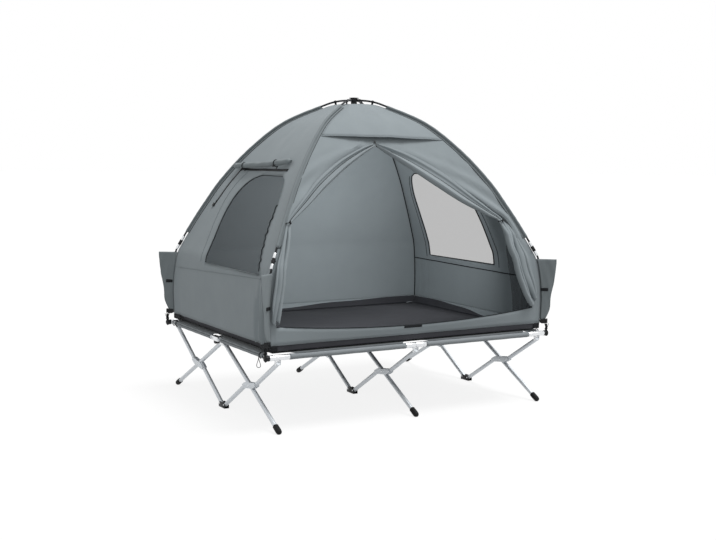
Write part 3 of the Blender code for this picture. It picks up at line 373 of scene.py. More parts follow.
# Pressed and tumbled aluminium fittings: brighter than the tube
BRIGHT = DrawnMetal("tumbled aluminium fitting", "bright_alloy", "#dcdee0", "#e6e8ea", 0.3, metallic=1.0,
                    mottle=90.0, pitch=2.0)
# Zinc-plated rivets: small bright heads
RIVET = Finish("zinc plated steel rivet", "bright_alloy", "#c9ccce", "#d8dadc", 0.3, metallic=1.0, gloss=0.5)
# Moulded nylon: satin black
NYLON = Finish("moulded nylon", "black_plastic", "#141618", "#1b1d20", 0.42)
# Moulded rubber: dull black
RUBBER = Finish("moulded rubber", "black_rubber", "#121314", "#1b1c1d", 0.72, pitch=1.2)
# Wound glass-fibre rod with a clear coat: near black
ROD = Finish("wound glass fibre rod", "dark_pole", "#1d1f22", "#26292c", 0.3, pitch=2.5)


# Shapes


def smooth_line(points: Sequence[Sequence[float]], steps: int) -> np.ndarray:
    """Points along a smooth curve through the given points.

    Args:
        points: The points that the curve passes.
        steps: Stretches between two of them.

    Returns:
        The curve's points, one a row.
    """
    given = np.array([points[0], *points, points[-1]], dtype=float)
    t = np.arange(steps)[:, None] / steps
    line = [0.5 * (2 * start + (end - before) * t + (2 * before - 5 * start + 4 * end - after) * t ** 2
                   + (3 * start - before - 3 * end + after) * t ** 3)
            for before, start, end, after in zip(given, given[1:], given[2:], given[3:])]
    return np.vstack([*line, given[-1:]])


def ease(low: float, high: float, value: float) -> float:
    """A smooth step from 0 at low to 1 at high."""
    share = min(max((value - low) / (high - low), 0.0), 1.0)
    return share * share * (3 - 2 * share)


def run_of(line: Sequence[Vector]) -> np.ndarray:
    """How far along a line each of its points lies."""
    return np.cumsum([0.0, *((after - before).length for before, after in zip(line, line[1:]))])


def arc(centre: Vector, across: Vector, up: Vector, turns: Iterable[float]) -> list[Vector]:
    """Points round a centre at the given angles, where across and up are the radii at 0 and 90 degrees."""
    return [centre + across * math.cos(turn) + up * math.sin(turn) for turn in np.radians(turns)]


def grid(high: int, wide: int, spot: Callable[[float, float], Vector]) -> list[list[Vector]]:
    """Rows of points for a sheet, where spot gives the point at a share of the rows and of the columns."""
    return [[spot(row / high, column / wide) for column in range(wide + 1)] for row in range(high + 1)]


def facing(origin: Sequence[float], out: Vector, near: Vector = UP) -> Matrix:
    """A frame whose Z is out and whose Y is as close as can be to near.

    Args:
        origin: The frame's place.
        out: The direction of its Z.
        near: The direction that its Y leans to.

    Returns:
        The frame as a matrix.
    """
    third = out.normalized()
    first = near.cross(third)
    if first.length < 1e-6:
        first = ALONG.cross(third)
    first.normalize()
    return Matrix.Translation(origin) @ Matrix((first, third.cross(first), third)).transposed().to_4x4()


def flatten_round(bm: Mesh, radius: float) -> None:
    """Writes a round bar's flat map, in metres: round it, then along its Z.

    Args:
        bm: The bar, with its axis on Z.
        radius: The radius that the map is drawn at.
    """
    layer = bm.loops.layers.uv.verify()
    for face in bm.faces:
        middle = face.calc_center_median()
        base = math.atan2(middle.y, middle.x)
        for loop in face.loops:
            turn = math.atan2(loop.vert.co.y, loop.vert.co.x) - base
            turn = (turn + math.pi) % math.tau - math.pi
            loop[layer].uv = ((base + turn) * radius, loop.vert.co.z)


def round_edges(bm: Mesh, edges: Sequence[bmesh.types.BMEdge], rim: float) -> None:
    """Rounds the given edges."""
    bmesh.ops.bevel(bm, geom=edges, offset=rim, segments=2, profile=0.5, affect="EDGES", material=-1)


def tube(start: Vector, end: Vector, radius: float, sides: int = 24, rim: float = 0.0008) -> Mesh:
    """A straight round bar with eased ends.

    Args:
        start: One end of its axis.
        end: The other end.
        radius: Its radius.
        sides: Faces round it.
        rim: How far its end edges are rounded.

    Returns:
        The bar.
    """
    bm = bmesh.new()
    bmesh.ops.create_cone(bm, cap_ends=True, segments=sides, radius1=radius, radius2=radius,
                          depth=(end - start).length)
    round_edges(bm, [edge for edge in bm.edges if edge.verts[0].co.z * edge.verts[1].co.z > 0], rim)
    flatten_round(bm, radius)
    bmesh.ops.transform(bm, matrix=facing((start + end) / 2, end - start), verts=bm.verts)
    return bm


def lathe(profile: Sequence[tuple[float, float]], place: Matrix, steps: int = 28) -> Mesh:
    """A turned shape.

    Args:
        profile: Radius and height of each point, from the axis back to the axis.
        place: The frame that its Z axis lies in.
        steps: Faces round it.

    Returns:
        The closed shape.
    """
    bm = bmesh.new()
    points = [bm.verts.new((radius, 0.0, height)) for radius, height in profile]
    edges = [bm.edges.new(pair) for pair in zip(points, points[1:])]
    bmesh.ops.spin(bm, geom=points + edges, cent=(0.0, 0.0, 0.0), axis=(0.0, 0.0, 1.0), angle=math.tau,
                   steps=steps, use_merge=True)
    bmesh.ops.remove_doubles(bm, verts=bm.verts, dist=1e-6)
    bmesh.ops.recalc_face_normals(bm, faces=bm.faces)
    flatten_round(bm, max(radius for radius, _ in profile))
    bmesh.ops.transform(bm, matrix=place, verts=bm.verts)
    return bm


def slab(outline: Sequence[tuple[float, float]], thickness: float, place: Matrix, rim: float) -> Mesh:
    """A flat plate with rounded edges.

    Args:
        outline: Its corners in the frame's X and Y.
        thickness: Its thickness, half to each side of the frame's plane.
        place: The frame.
        rim: How far its edges are rounded.

    Returns:
        The plate.
    """
    bm = bmesh.new()
    face = bm.faces.new([bm.verts.new((across, up, -thickness / 2)) for across, up in outline])
    grown = bmesh.ops.extrude_face_region(bm, geom=[face])["geom"]
    moved = [item for item in grown if isinstance(item, bmesh.types.BMVert)]
    bmesh.ops.translate(bm, vec=(0.0, 0.0, thickness), verts=moved)
    bmesh.ops.recalc_face_normals(bm, faces=bm.faces)
    round_edges(bm, bm.edges[:], rim)
    layer = bm.loops.layers.uv.verify()
    for item in bm.faces:
        for loop in item.loops:
            loop[layer].uv = loop.vert.co.xy
    bmesh.ops.transform(bm, matrix=place, verts=bm.verts)
    return bm


def block(size: Sequence[float], place: Matrix, rim: float) -> Mesh:
    """A box with its sides in the frame's X, Y and Z, its middle at the frame's origin, and rounded edges."""
    x, y = size[0] / 2, size[1] / 2
    return slab(((-x, -y), (x, -y), (x, y), (-x, y)), size[2], place, rim)


def rivet(place: Vector, out: Vector, radius: float) -> Mesh:
    """A domed rivet head that faces out from its seat."""
    profile = ((0.0, -0.0006), (radius, -0.0006), (radius, radius * 0.12), (radius * 0.86, radius * 0.26),
               (radius * 0.5, radius * 0.38), (0.0, radius * 0.42))
    return lathe(profile, facing(place, out), 20)


def cord_of(name: str, points: Sequence[Sequence[float]], radius: float, rings: int) -> bpy.types.Object:
    """A round cord as a curve object.

    Args:
        name: Its name.
        points: The line that it follows.
        radius: Its radius.
        rings: How finely it is rounded.

    Returns:
        The curve, not yet in the scene.
    """
    curve = bpy.data.curves.new(name, "CURVE")
    curve.dimensions = "3D"
    curve.bevel_depth = radius
    curve.bevel_resolution = rings
    curve.use_fill_caps = True
    spline = curve.splines.new("POLY")
    spline.points.add(len(points) - 1)
    for point, place in zip(spline.points, points):
        point.co = (*place, 1.0)
    return bpy.data.objects.new(name, curve)


def wire(points: Sequence[Sequence[float]], radius: float, rings: int = 2) -> Mesh:
    """A round cord or rod along a line of points, closed at both ends.

    Args:
        points: The line.
        radius: Its radius.
        rings: How finely it is rounded.

    Returns:
        The rod.
    """
    line = cord_of("line", points, radius, rings)
    mesh = bpy.data.meshes.new_from_object(line)
    bm = bmesh.new()
    bm.from_mesh(mesh)
    bmesh.ops.remove_doubles(bm, verts=bm.verts, dist=1e-6)
    bmesh.ops.recalc_face_normals(bm, faces=bm.faces)
    bpy.data.objects.remove(line)
    bpy.data.meshes.remove(mesh)
    return bm


def weave(bm: Mesh, rows: Sequence[Sequence[Vector]], bare: Callable[[int, int], bool] | None = None) -> None:
    """Lays a grid of cloth through rows of points, with its flat lengths as its map.

    Args:
        bm: The mesh that the cloth is added to.
        rows: Points of the cloth, row after row.
        bare: Says by row and column which cells have no cloth.
    """
    high, wide = len(rows) - 1, len(rows[0]) - 1
    made = bmesh.ops.create_grid(bm, x_segments=wide, y_segments=high, size=1.0)["verts"]
    spots = {vert: (round((vert.co.y + 1) / 2 * high), round((vert.co.x + 1) / 2 * wide)) for vert in made}
    middle = wide // 2
    widths = [run_of(row) for row in rows]
    drops = run_of([row[middle] for row in rows])
    layer = bm.loops.layers.uv.verify()
    gone = []
    for face in {face for vert in made for face in vert.link_faces}:
        for loop in face.loops:
            row, column = spots[loop.vert]
            loop[layer].uv = (widths[row][column] - widths[row][middle], drops[row])
        if bare and bare(*np.min([spots[vert] for vert in face.verts], axis=0)):
            gone.append(face)
    for vert, (row, column) in spots.items():
        vert.co = rows[row][column]
    bmesh.ops.delete(bm, geom=gone, context="FACES")


def sheet_of(rows: Sequence[Sequence[Vector]]) -> Mesh:
    """A cloth sheet of its own through rows of points, joined where its edges meet."""
    bm = bmesh.new()
    weave(bm, rows)
    return bm


def ribbon(line: Sequence[Vector], lean: Vector, width: float) -> Mesh:
    """A flat tape.

    Args:
        line: Its middle line.
        lean: The way that its face looks.
        width: Its width.

    Returns:
        The tape.
    """
    last = len(line) - 1
    sides = [(line[min(index + 1, last)] - line[max(index - 1, 0)]).cross(lean).normalized() * width
             for index in range(last + 1)]
    return sheet_of(grid(last, 4, lambda run, share: line[round(run * last)] + sides[round(run * last)]
                         * (share - 0.5)))


def make_piece(name: str, shells: Sequence[Mesh], finish: Finish, body: str = "tent", nodes: Sequence[str] = (),
               thickness: float = 0.0, outward: Vector | None = None, angle: float = 38.0,
               heart: Vector = HEART) -> bpy.types.Object:
    """Makes one named piece from its shells and hangs it on its body.

    Args:
        name: The piece's name.
        shells: Its meshes, in place.
        finish: What it is made of.
        body: The body that it moves with.
        nodes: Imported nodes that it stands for.
        thickness: The wall that an open sheet gets, inwards.
        outward: The side that an open sheet faces, or none where it faces away from its heart.
        angle: Edges sharper than this, in degrees, stay sharp.
        heart: The point that an open sheet faces away from.

    Returns:
        The piece.
    """
    whole = bmesh.new()
    for shell in shells:
        part = bpy.data.meshes.new(name)
        shell.to_mesh(part)
        shell.free()
        whole.from_mesh(part)
        bpy.data.meshes.remove(part)
    if thickness:
        whole.normal_update()
        if sum(face.normal.dot(outward or face.calc_center_median() - heart) for face in whole.faces) < 0:
            bmesh.ops.reverse_faces(whole, faces=whole.faces)
    mesh = bpy.data.meshes.new(name)
    whole.to_mesh(mesh)
    whole.free()
    mesh.shade_smooth()
    mesh.set_sharp_from_angle(angle=math.radians(angle))
    mesh.materials.append(finish.material())
    piece = bpy.data.objects.new(name, mesh)
    bpy.context.scene.collection.objects.link(piece)
    if thickness:
        wall = piece.modifiers.new("wall", "SOLIDIFY")
        wall.thickness = thickness
        wall.offset = -1.0
    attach(piece, body)
    if nodes:
        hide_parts(*nodes)
    LOG.info("%s: %d faces on %s", name, len(mesh.polygons), body)
    return piece


def make_line(name: str, points: Sequence[Sequence[float]], radius: float, finish: Finish) -> None:
    """Makes a piece of the tent from one round cord along a line."""
    make_piece(name, [wire(points, radius)], finish)


# The tent's outline


class Edge:
    """A line across a wall, as shares of its half width at heights, eased between them."""

    def __init__(self, heights: Sequence[float], shares: Sequence[float]) -> None:
        """Draws the smooth line through the given places.

        Args:
            heights: Heights from low to high.
            shares: The wall's share at each height.
        """
        line = smooth_line(list(zip(heights, shares)), 8)
        self.heights = np.maximum.accumulate(line[:, 0])
        self.shares = line[:, 1]

    def at(self, height: float) -> float:
        """The share at a height."""
        return float(np.interp(height, self.heights, self.shares))


@dataclass
class Arch:
    """The poles' curve in the upright plane of a diagonal, and the cloth inside it."""

    reach: float = CORNER_REACH - 0.025
    foot: float = 0.517
    rise: float = 1.353
    seam: float = 0.013
    crown_drop: float = 0.032
    crown_reach: float = 0.25
    steps: int = 10
    elbow: int = 80
    end: int = 120
    shares: tuple = ((0.0, 1.0), (0.088, 0.994), (0.175, 0.970), (0.383, 0.891), (0.568, 0.764), (0.716, 0.627),
                     (0.805, 0.520), (0.876, 0.427), (0.948, 0.323), (0.977, 0.272), (0.997, 0.175),
                     (1.0025, 0.090), (1.0, 0.0), (0.998, -0.06))

    def __post_init__(self) -> None:
        """Works the curve out."""
        self.pole = smooth_line([(out * self.reach, self.foot + up * self.rise) for out, up in self.shares],
                                self.steps)
        slope = np.gradient(self.pole, axis=0)
        slope /= np.linalg.norm(slope, axis=1)[:, None]
        self.normal = np.column_stack((-slope[:, 1], slope[:, 0]))
        near = np.clip(1 - self.pole[:, 0] / self.crown_reach, 0, 1) ** 2
        offset = self.seam + (self.crown_drop - self.seam) * near
        self.cloth = self.pole - self.normal * offset[:, None]
        self.count = np.arange(len(self.cloth))

    def at_height(self, height: float) -> float:
        """The place along the cloth's curve at a height."""
        return float(np.interp(-height, -self.cloth[:, 1], self.count))

    def at_reach(self, reach: float) -> float:
        """The place along the cloth's upper curve at a distance from the middle."""
        return float(np.interp(reach, self.cloth[:self.elbow, 0], self.count[:self.elbow]))

    def read(self, table: np.ndarray, place: float) -> tuple[float, float]:
        """Both columns of one of the curve's tables at a place along it."""
        return tuple(float(np.interp(place, self.count, column)) for column in table.T)

    def cloth_at(self, place: float) -> tuple[float, float]:
        """The cloth's distance from the middle and its height at a place along the curve."""
        return self.read(self.cloth, place)

    def lean(self, side: Side, place: float) -> Vector:
        """The unit vector out of a wall's cloth at a place along the curve."""
        near, far = self.cloth_at(max(place - 1.0, 0.0)), self.cloth_at(place + 1.0)
        return (side.outward * (near[1] - far[1]) + UP * (far[0] - near[0]) * side.depth).normalized()

    def on_wall(self, side: Side, place: float, share: float, out: float = 0.0) -> Vector:
        """A point of a wall.

        Args:
            side: The wall.
            place: The place along the curve.
            share: Across the wall, from -1 to 1.
            out: How far it stands off the cloth.

        Returns:
            The point.
        """
        reach, height = self.cloth_at(place)
        base = side.outward * reach * side.depth + side.along * share * reach * side.half + UP * height
        return base + self.lean(side, place) * out if out else base

    def on_pole(self, corner: Corner, place: float, out: float = 0.0, across: float = 0.0) -> Vector:
        """A point by a pole's axis.

        Args:
            corner: Which pole.
            place: The place along the curve.
            out: How far it lies out of the curve.
            across: How far it lies across the diagonal.

        Returns:
            The point.
        """
        reach, height = self.read(self.pole, place)
        return (corner.outward * reach + UP * height + self.pole_lean(corner, place) * out
                + corner.across * across)

    def pole_lean(self, corner: Corner, place: float) -> Vector:
        """The direction out of the pole's curve, in its diagonal's plane."""
        out, up = self.read(self.normal, place)
        return (corner.outward * out + UP * up).normalized()

    def pole_reach(self, height: float) -> float:
        """The pole's distance from the middle at a height."""
        return float(np.interp(-height, -self.pole[:, 1], self.pole[:, 0]))


@dataclass(frozen=True)
class Opening:
    """The doorway or a window: its lower and upper heights, and the two edges of its sides."""

    low: float
    high: float
    front: Edge
    rear: Edge


ARCH = Arch()
WINDOWS = (Side.LEFT, Side.RIGHT)
DOOR_HEIGHTS = (0.575, 0.85, 1.00, 1.13, 1.20, 1.29, 1.377, 1.48, 1.56, 1.600)
DOOR = Opening(
    0.575, 1.600,
    Edge(DOOR_HEIGHTS, (-0.955, -0.955, -0.955, -0.955, -0.955, -0.867, -0.760, -0.587, -0.340, -0.145)),
    Edge(DOOR_HEIGHTS, (0.930, 0.930, 0.930, 0.930, 0.850, 0.730, 0.590, 0.350, 0.070, -0.115)))
OPENINGS = {
    Side.FRONT: DOOR,
    Side.LEFT: Opening(
        0.864, 1.410,
        Edge((0.864, 0.95, 1.02, 1.10, 1.205, 1.315, 1.386, 1.410),
             (-0.790, -0.752, -0.733, -0.718, -0.727, -0.714, -0.660, -0.560)),
        Edge((0.864, 1.02, 1.205, 1.315, 1.386, 1.410), (0.340, 0.382, 0.436, 0.378, 0.224, 0.020))),
    Side.RIGHT: Opening(
        0.815, 1.405,
        Edge((0.815, 1.00, 1.205, 1.315, 1.381, 1.405), (-0.365, -0.400, -0.440, -0.385, -0.224, -0.020)),
        Edge((0.815, 1.00, 1.205, 1.315, 1.381, 1.405), (0.702, 0.715, 0.752, 0.730, 0.655, 0.550)))}


@dataclass
class Canopy:
    """The tent's walls: one sheet that runs round all four sides, with the doorway and two windows."""

    bottom: float = 0.4885
    sill_bottom: float = 0.455
    sill_top: float = 0.75
    top: float = 1.655
    crown: float = 0.024
    row_step: float = 0.022
    crown_rows: int = 22
    cloth: float = 0.0012
    sag: float = 0.007
    gather: float = 0.0085
    drawn_depth: float = 0.0095
    sill_sag: float = 0.030
    even: tuple = (-0.4, 0.4)
    inside: float = -0.0032
    counts: dict = field(default_factory=lambda: {
        Side.FRONT: (9, 26, 9), Side.BACK: (9, 22, 9), Side.LEFT: (22, 44, 14), Side.RIGHT: (36, 28, 12)})

    def places(self) -> list[float]:
        """The rows' places along the curve, from the walls' foot up to the crown.

        Returns:
            The places.
        """
        marks = sorted({self.bottom, self.top}.union(*((hole.low, hole.high) for hole in OPENINGS.values())))
        heights = []
        for low, high in zip(marks, marks[1:]):
            steps = max(1, round((high - low) / self.row_step))
            heights += [low + (high - low) * step / steps for step in range(steps)]
        last, rest = ARCH.at_height(self.top), self.crown_rows
        over = ARCH.at_reach(self.crown) - last
        return [*(ARCH.at_height(height) for height in heights),
                *(last + over * row / rest for row in range(rest + 1))]

    def knots(self, side: Side, height: float) -> tuple[float, float]:
        """The two inner lines that a wall's columns follow.

        Args:
            side: The wall.
            height: The row's height.

        Returns:
            Their shares.
        """
        hole = OPENINGS.get(side)
        if not hole:
            return self.even
        blend = ease(hole.high, hole.high + 0.18, height)
        return tuple(edge.at(height) + (even - edge.at(height)) * blend
                     for edge, even in zip((hole.front, hole.rear), self.even))

    def relief(self, side: Side, share: float, height: float) -> float:
        """How far the cloth stands out of the plain wall: its sag, gathers and drawn folds.

        Args:
            side: The wall.
            share: Across the wall.
            height: The height.

        Returns:
            Metres out.
        """
        edge = 1 - abs(share)
        sag = self.sag * (1 - share * share) * ease(0.50, 0.95, height) * (1 - ease(1.70, 1.84, height))
        low = (1 - ease(0.58, 0.98, height)) * (1.0 if side in WINDOWS and share < 0 else 0.3)
        gather = self.gather * low * ease(0.0, 0.03, edge) * (1 - ease(0.16, 0.40, edge))
        gather *= math.sin(edge * 104.0 + 4.0 * height) + 0.5 * math.sin(edge * 57.0 + 1.0)
        broad = 0.0022 * math.sin(6.1 * share + 4.7 * height + 1.3) * math.sin(3.2 * share - 7.9 * height)
        broad += 0.0009 * math.sin(17.0 * share + 9.0 * height) * math.sin(4.0 * share - 21.0 * height + 0.7)
        drawn = self.drawn(share, height) if side is Side.FRONT and 0.6 < height < 1.64 else 0.0
        return ease(0.0, 0.07, edge) * (broad - sag + drawn) + gather

    def drawn(self, share: float, height: float) -> float:
        """The folds that the tied door draws into the front wall beside it.

        Args:
            share: Across the wall.
            height: The height.

        Returns:
            Metres out.
        """
        left, right = DOOR.front.at(height), DOOR.rear.at(height)
        gap = (left - share) if share < (left + right) / 2 else (share - right)
        if gap <= 0:
            return 0.0
        slant = 7.0 * (height - 1.15)
        waves = math.sin(gap * 21.0 + 0.6 + slant) + 0.45 * math.sin(gap * 43.0 - 1.7 * slant)
        reach = ease(0.62, 1.0, height) * (1 - ease(1.56, 1.64, height))
        crisp = math.copysign(abs(waves) ** 0.8, waves)
        return self.drawn_depth * reach * crisp * math.exp(-gap * 2.6) * ease(0.0, 0.03, gap)

    def point(self, side: Side, place: float, share: float) -> Vector:
        """A point of the finished cloth.

        Args:
            side: The wall.
            place: The place along the curve.
            share: Across the wall.

        Returns:
            The point, with the sill's dip along the door's lower edge.
        """
        height = ARCH.cloth_at(place)[1]
        slack = self.relief(side, share, height)
        if side is not Side.FRONT or height >= self.sill_top:
            return ARCH.on_wall(side, place, share, slack)
        level = DOOR.low
        weight = ease(self.bottom, level, height) if height < level else 1 - ease(level, self.sill_top, height)
        dip = (1.8 * self.sill_sag * share * share - self.sill_sag) * (1 - ease(0.94, 1.0, abs(share)))
        bulge = 0.010 * weight * (1 - share ** 4)
        slack *= 0.6 - 0.5 * weight * ease(0.04, 0.10, 1 - abs(share))
        return ARCH.on_wall(side, ARCH.at_height(height + dip * weight), share, bulge + slack)

    def off(self, side: Side, height: float, share: float, out: float) -> Vector:
        """A point that stands off the finished cloth."""
        place = ARCH.at_height(height)
        return self.point(side, place, share) + ARCH.lean(side, place) * out

    def shares(self, side: Side, height: float) -> list[float]:
        """The columns' shares in one row.

        Args:
            side: The wall.
            height: The row's height.

        Returns:
            The shares, from -1 to 1.
        """
        marks = (-1.0, *self.knots(side, height), 1.0)
        shares = [-1.0]
        for low, high, count in zip(marks, marks[1:], self.counts[side]):
            shares += [low + (high - low) * step / count for step in range(1, count + 1)]
        return shares

    def build(self) -> None:
        """Sews the four walls into one sheet, and adds its skirt and its tapes."""
        places = self.places()
        heights = [ARCH.cloth_at(place)[1] for place in places]
        whole = bmesh.new()
        for side in Side:
            rows = [[self.point(side, place, share) for share in self.shares(side, height)]
                    for place, height in zip(places, heights)]
            hole = OPENINGS.get(side)
            open_rows = {row for row, pair in enumerate(zip(heights, heights[1:]))
                         if hole and hole.low < sum(pair) / 2 < hole.high}
            first, second = self.counts[side][0], sum(self.counts[side][:2])
            weave(whole, rows, lambda row, column: row in open_rows and first <= column < second)
        bmesh.ops.remove_doubles(whole, verts=whole.verts, dist=0.0004)
        area = sum(face.calc_area() for face in whole.faces)
        walls = ("front_wall", "back_wall", "left_wall", "right_wall")
        canopy = make_piece("canopy", [whole], CANOPY, "tent", walls, self.cloth)
        self.skirt()
        for side in WINDOWS:
            self.window_tapes(side)
        self.panel_seams()
        for corner in Corner:
            line = []
            for place in np.linspace(ARCH.at_height(0.50), ARCH.at_reach(0.12), 60):
                reach, height = ARCH.cloth_at(place)
                line.append(corner.outward * (reach - 0.006) + UP * (height - 0.002))
            make_line(f"corner_seam_{corner.label}", line, 0.0036, BINDING)
        self.sill_tapes()
        self.loose_edge()

    def skirt(self) -> None:
        """The strip of floor cloth under the door's sill panel, down to the bed."""
        rise, wide = self.bottom + 0.006 - self.sill_bottom, 44
        rows = grid(6, wide, lambda up, share: ARCH.on_wall(
            Side.FRONT, ARCH.at_height(self.sill_bottom + rise * up), 2 * share - 1,
            -0.0016 - 0.0006 * (round(share * wide) % 2)))
        skirt = make_piece("front_skirt", [sheet_of(rows)], FLOOR, thickness=self.cloth)

    def window_tapes(self, side: Side) -> None:
        """A window's inner hems, and its binding inside and out.

        Args:
            side: The wall.
        """
        hole = OPENINGS[side]
        for label, edge, shift in (("front", hole.front, -0.075), ("rear", hole.rear, 0.060)):
            hem = [self.off(side, height, edge.at(height) + shift, -0.0022)
                   for height in np.linspace(0.80, 1.38, 24)]
            make_line(f"window_hem_{label}_{side.label}", hem, 0.0015, BINDING)
        heights = np.linspace(hole.low, hole.high, 26)
        loop = [(hole.front.at(height), height) for height in heights]
        loop += [(hole.rear.at(height), height) for height in heights[::-1]] + loop[:1]
        halves = np.arange(0.0, len(loop) - 0.5, 0.5)
        loop = list(zip(*(np.interp(halves, range(len(loop)), column) for column in zip(*loop))))
        for label, out, radius, finish in (("inner", self.inside, 0.0036, BINDING),
                                           ("outer", 0.0012, 0.0018, SHADED_CANOPY)):
            make_line(f"window_binding_{label}_{side.label}",
                      [self.off(side, height, share, out) for share, height in loop], radius, finish)

    def panel_seams(self) -> None:
        """The level seams under the windows."""
        for side, front, rear in ((Side.LEFT, 0.850, 0.794), (Side.RIGHT, 0.765, 0.778)):
            for label, out, radius, finish in (("inner", self.inside, 0.0032, BINDING),
                                               ("outer", 0.0004, 0.0022, SHADED_CANOPY)):
                path = [self.off(side, front + (rear - front) * (share + 1) / 2, share, out)
                        for share in np.linspace(-0.985, 0.985, 41)]
                make_line(f"panel_seam_{label}_{side.label}", path, radius, finish)

    def sill_tapes(self) -> None:
        """The sill's bound edge, and the tape that the door closes on."""
        sill = [self.point(Side.FRONT, ARCH.at_height(DOOR.low), share)
                for share in np.linspace(DOOR.front.at(DOOR.low), DOOR.rear.at(DOOR.low), 61)]
        make_line("sill_binding", sill, 0.0028, BINDING)
        shift = Vector((0.0, -0.0034, 0.001))
        tab = grid(4, 12, lambda down, share: self.point(
            Side.FRONT, ARCH.at_height(DOOR.low - 0.022 * down), 0.13 * share - 0.075) + shift)
        make_piece("sill_closing_tape", [sheet_of(tab)], LOOP_TAPE, thickness=0.002)

    def loose_edge(self) -> None:
        """A black puckered cord along the left window's front edge: binding, and a painted shadow of the gap beside
        it.
        """
        line = []
        for height in np.linspace(0.885, 1.245, 60):
            pucker = 0.007 * math.sin(height * 165.0) + 0.005 * math.sin(height * 83.0 + 1.0)
            share = OPENINGS[Side.LEFT].front.at(height) + 0.006 + pucker
            line.append(self.off(Side.LEFT, height, share, 0.0040))
        # The black cord paints the gap's shadow as well as the binding
        make_line("window_edge_binding", line, 0.0038, BINDING)


CLOTH = Canopy()


@dataclass
class Visor:
    """The second layer over the door, which stands off the front wall along its lower edge."""

    edge: float = 1.632
    side_gap: float = 0.024
    stand: float = 0.026
    base: float = 0.0016
    top_reach: float = 0.10
    tilt: float = 0.010
    sag: float = 0.006
    slack: float = 0.0018
    cloth: float = 0.0012

    def build(self) -> None:
        """Lays the visor and its hem."""
        rows = grid(24, 40, lambda up, share: self.point(1 - up, 2 * share - 1))
        visor = make_piece("visor_cloth", [sheet_of(rows)], CANOPY, "tent", ("visor",), self.cloth)
        make_line("visor_hem", rows[0], 0.0024, CANOPY)

    def point(self, down: float, across: float) -> Vector:
        """A point of the visor.

        Args:
            down: From 0 at its top to 1 at its lower edge.
            across: From -1 at its left to 1 at its right.

        Returns:
            The point.
        """
        place = ARCH.at_height(self.edge) * down + ARCH.at_reach(self.top_reach) * (1 - down)
        reach, level = ARCH.cloth_at(place)
        share = across * (1 - self.side_gap / (reach * SHARE_X))
        height = level - self.sag * math.cos(across * math.pi / 2) * down ** 3 - self.tilt * across * down
        lift = self.base + (1 - across ** 2) * (
            self.stand * down ** 2 + self.slack * down * (1 + math.sin(5.0 * across + 1.0)))
        if reach > 0.3:
            return CLOTH.off(Side.FRONT, height, share, lift)
        return ARCH.on_wall(Side.FRONT, place, share, lift + CLOTH.relief(Side.FRONT, share, height))


@dataclass(frozen=True)
class Flap:
    """One half of the door: its inner edge, its folded width, both from the top down, and its tie's height."""

    hand: Hand
    shares: tuple
    widths: tuple
    tie: float


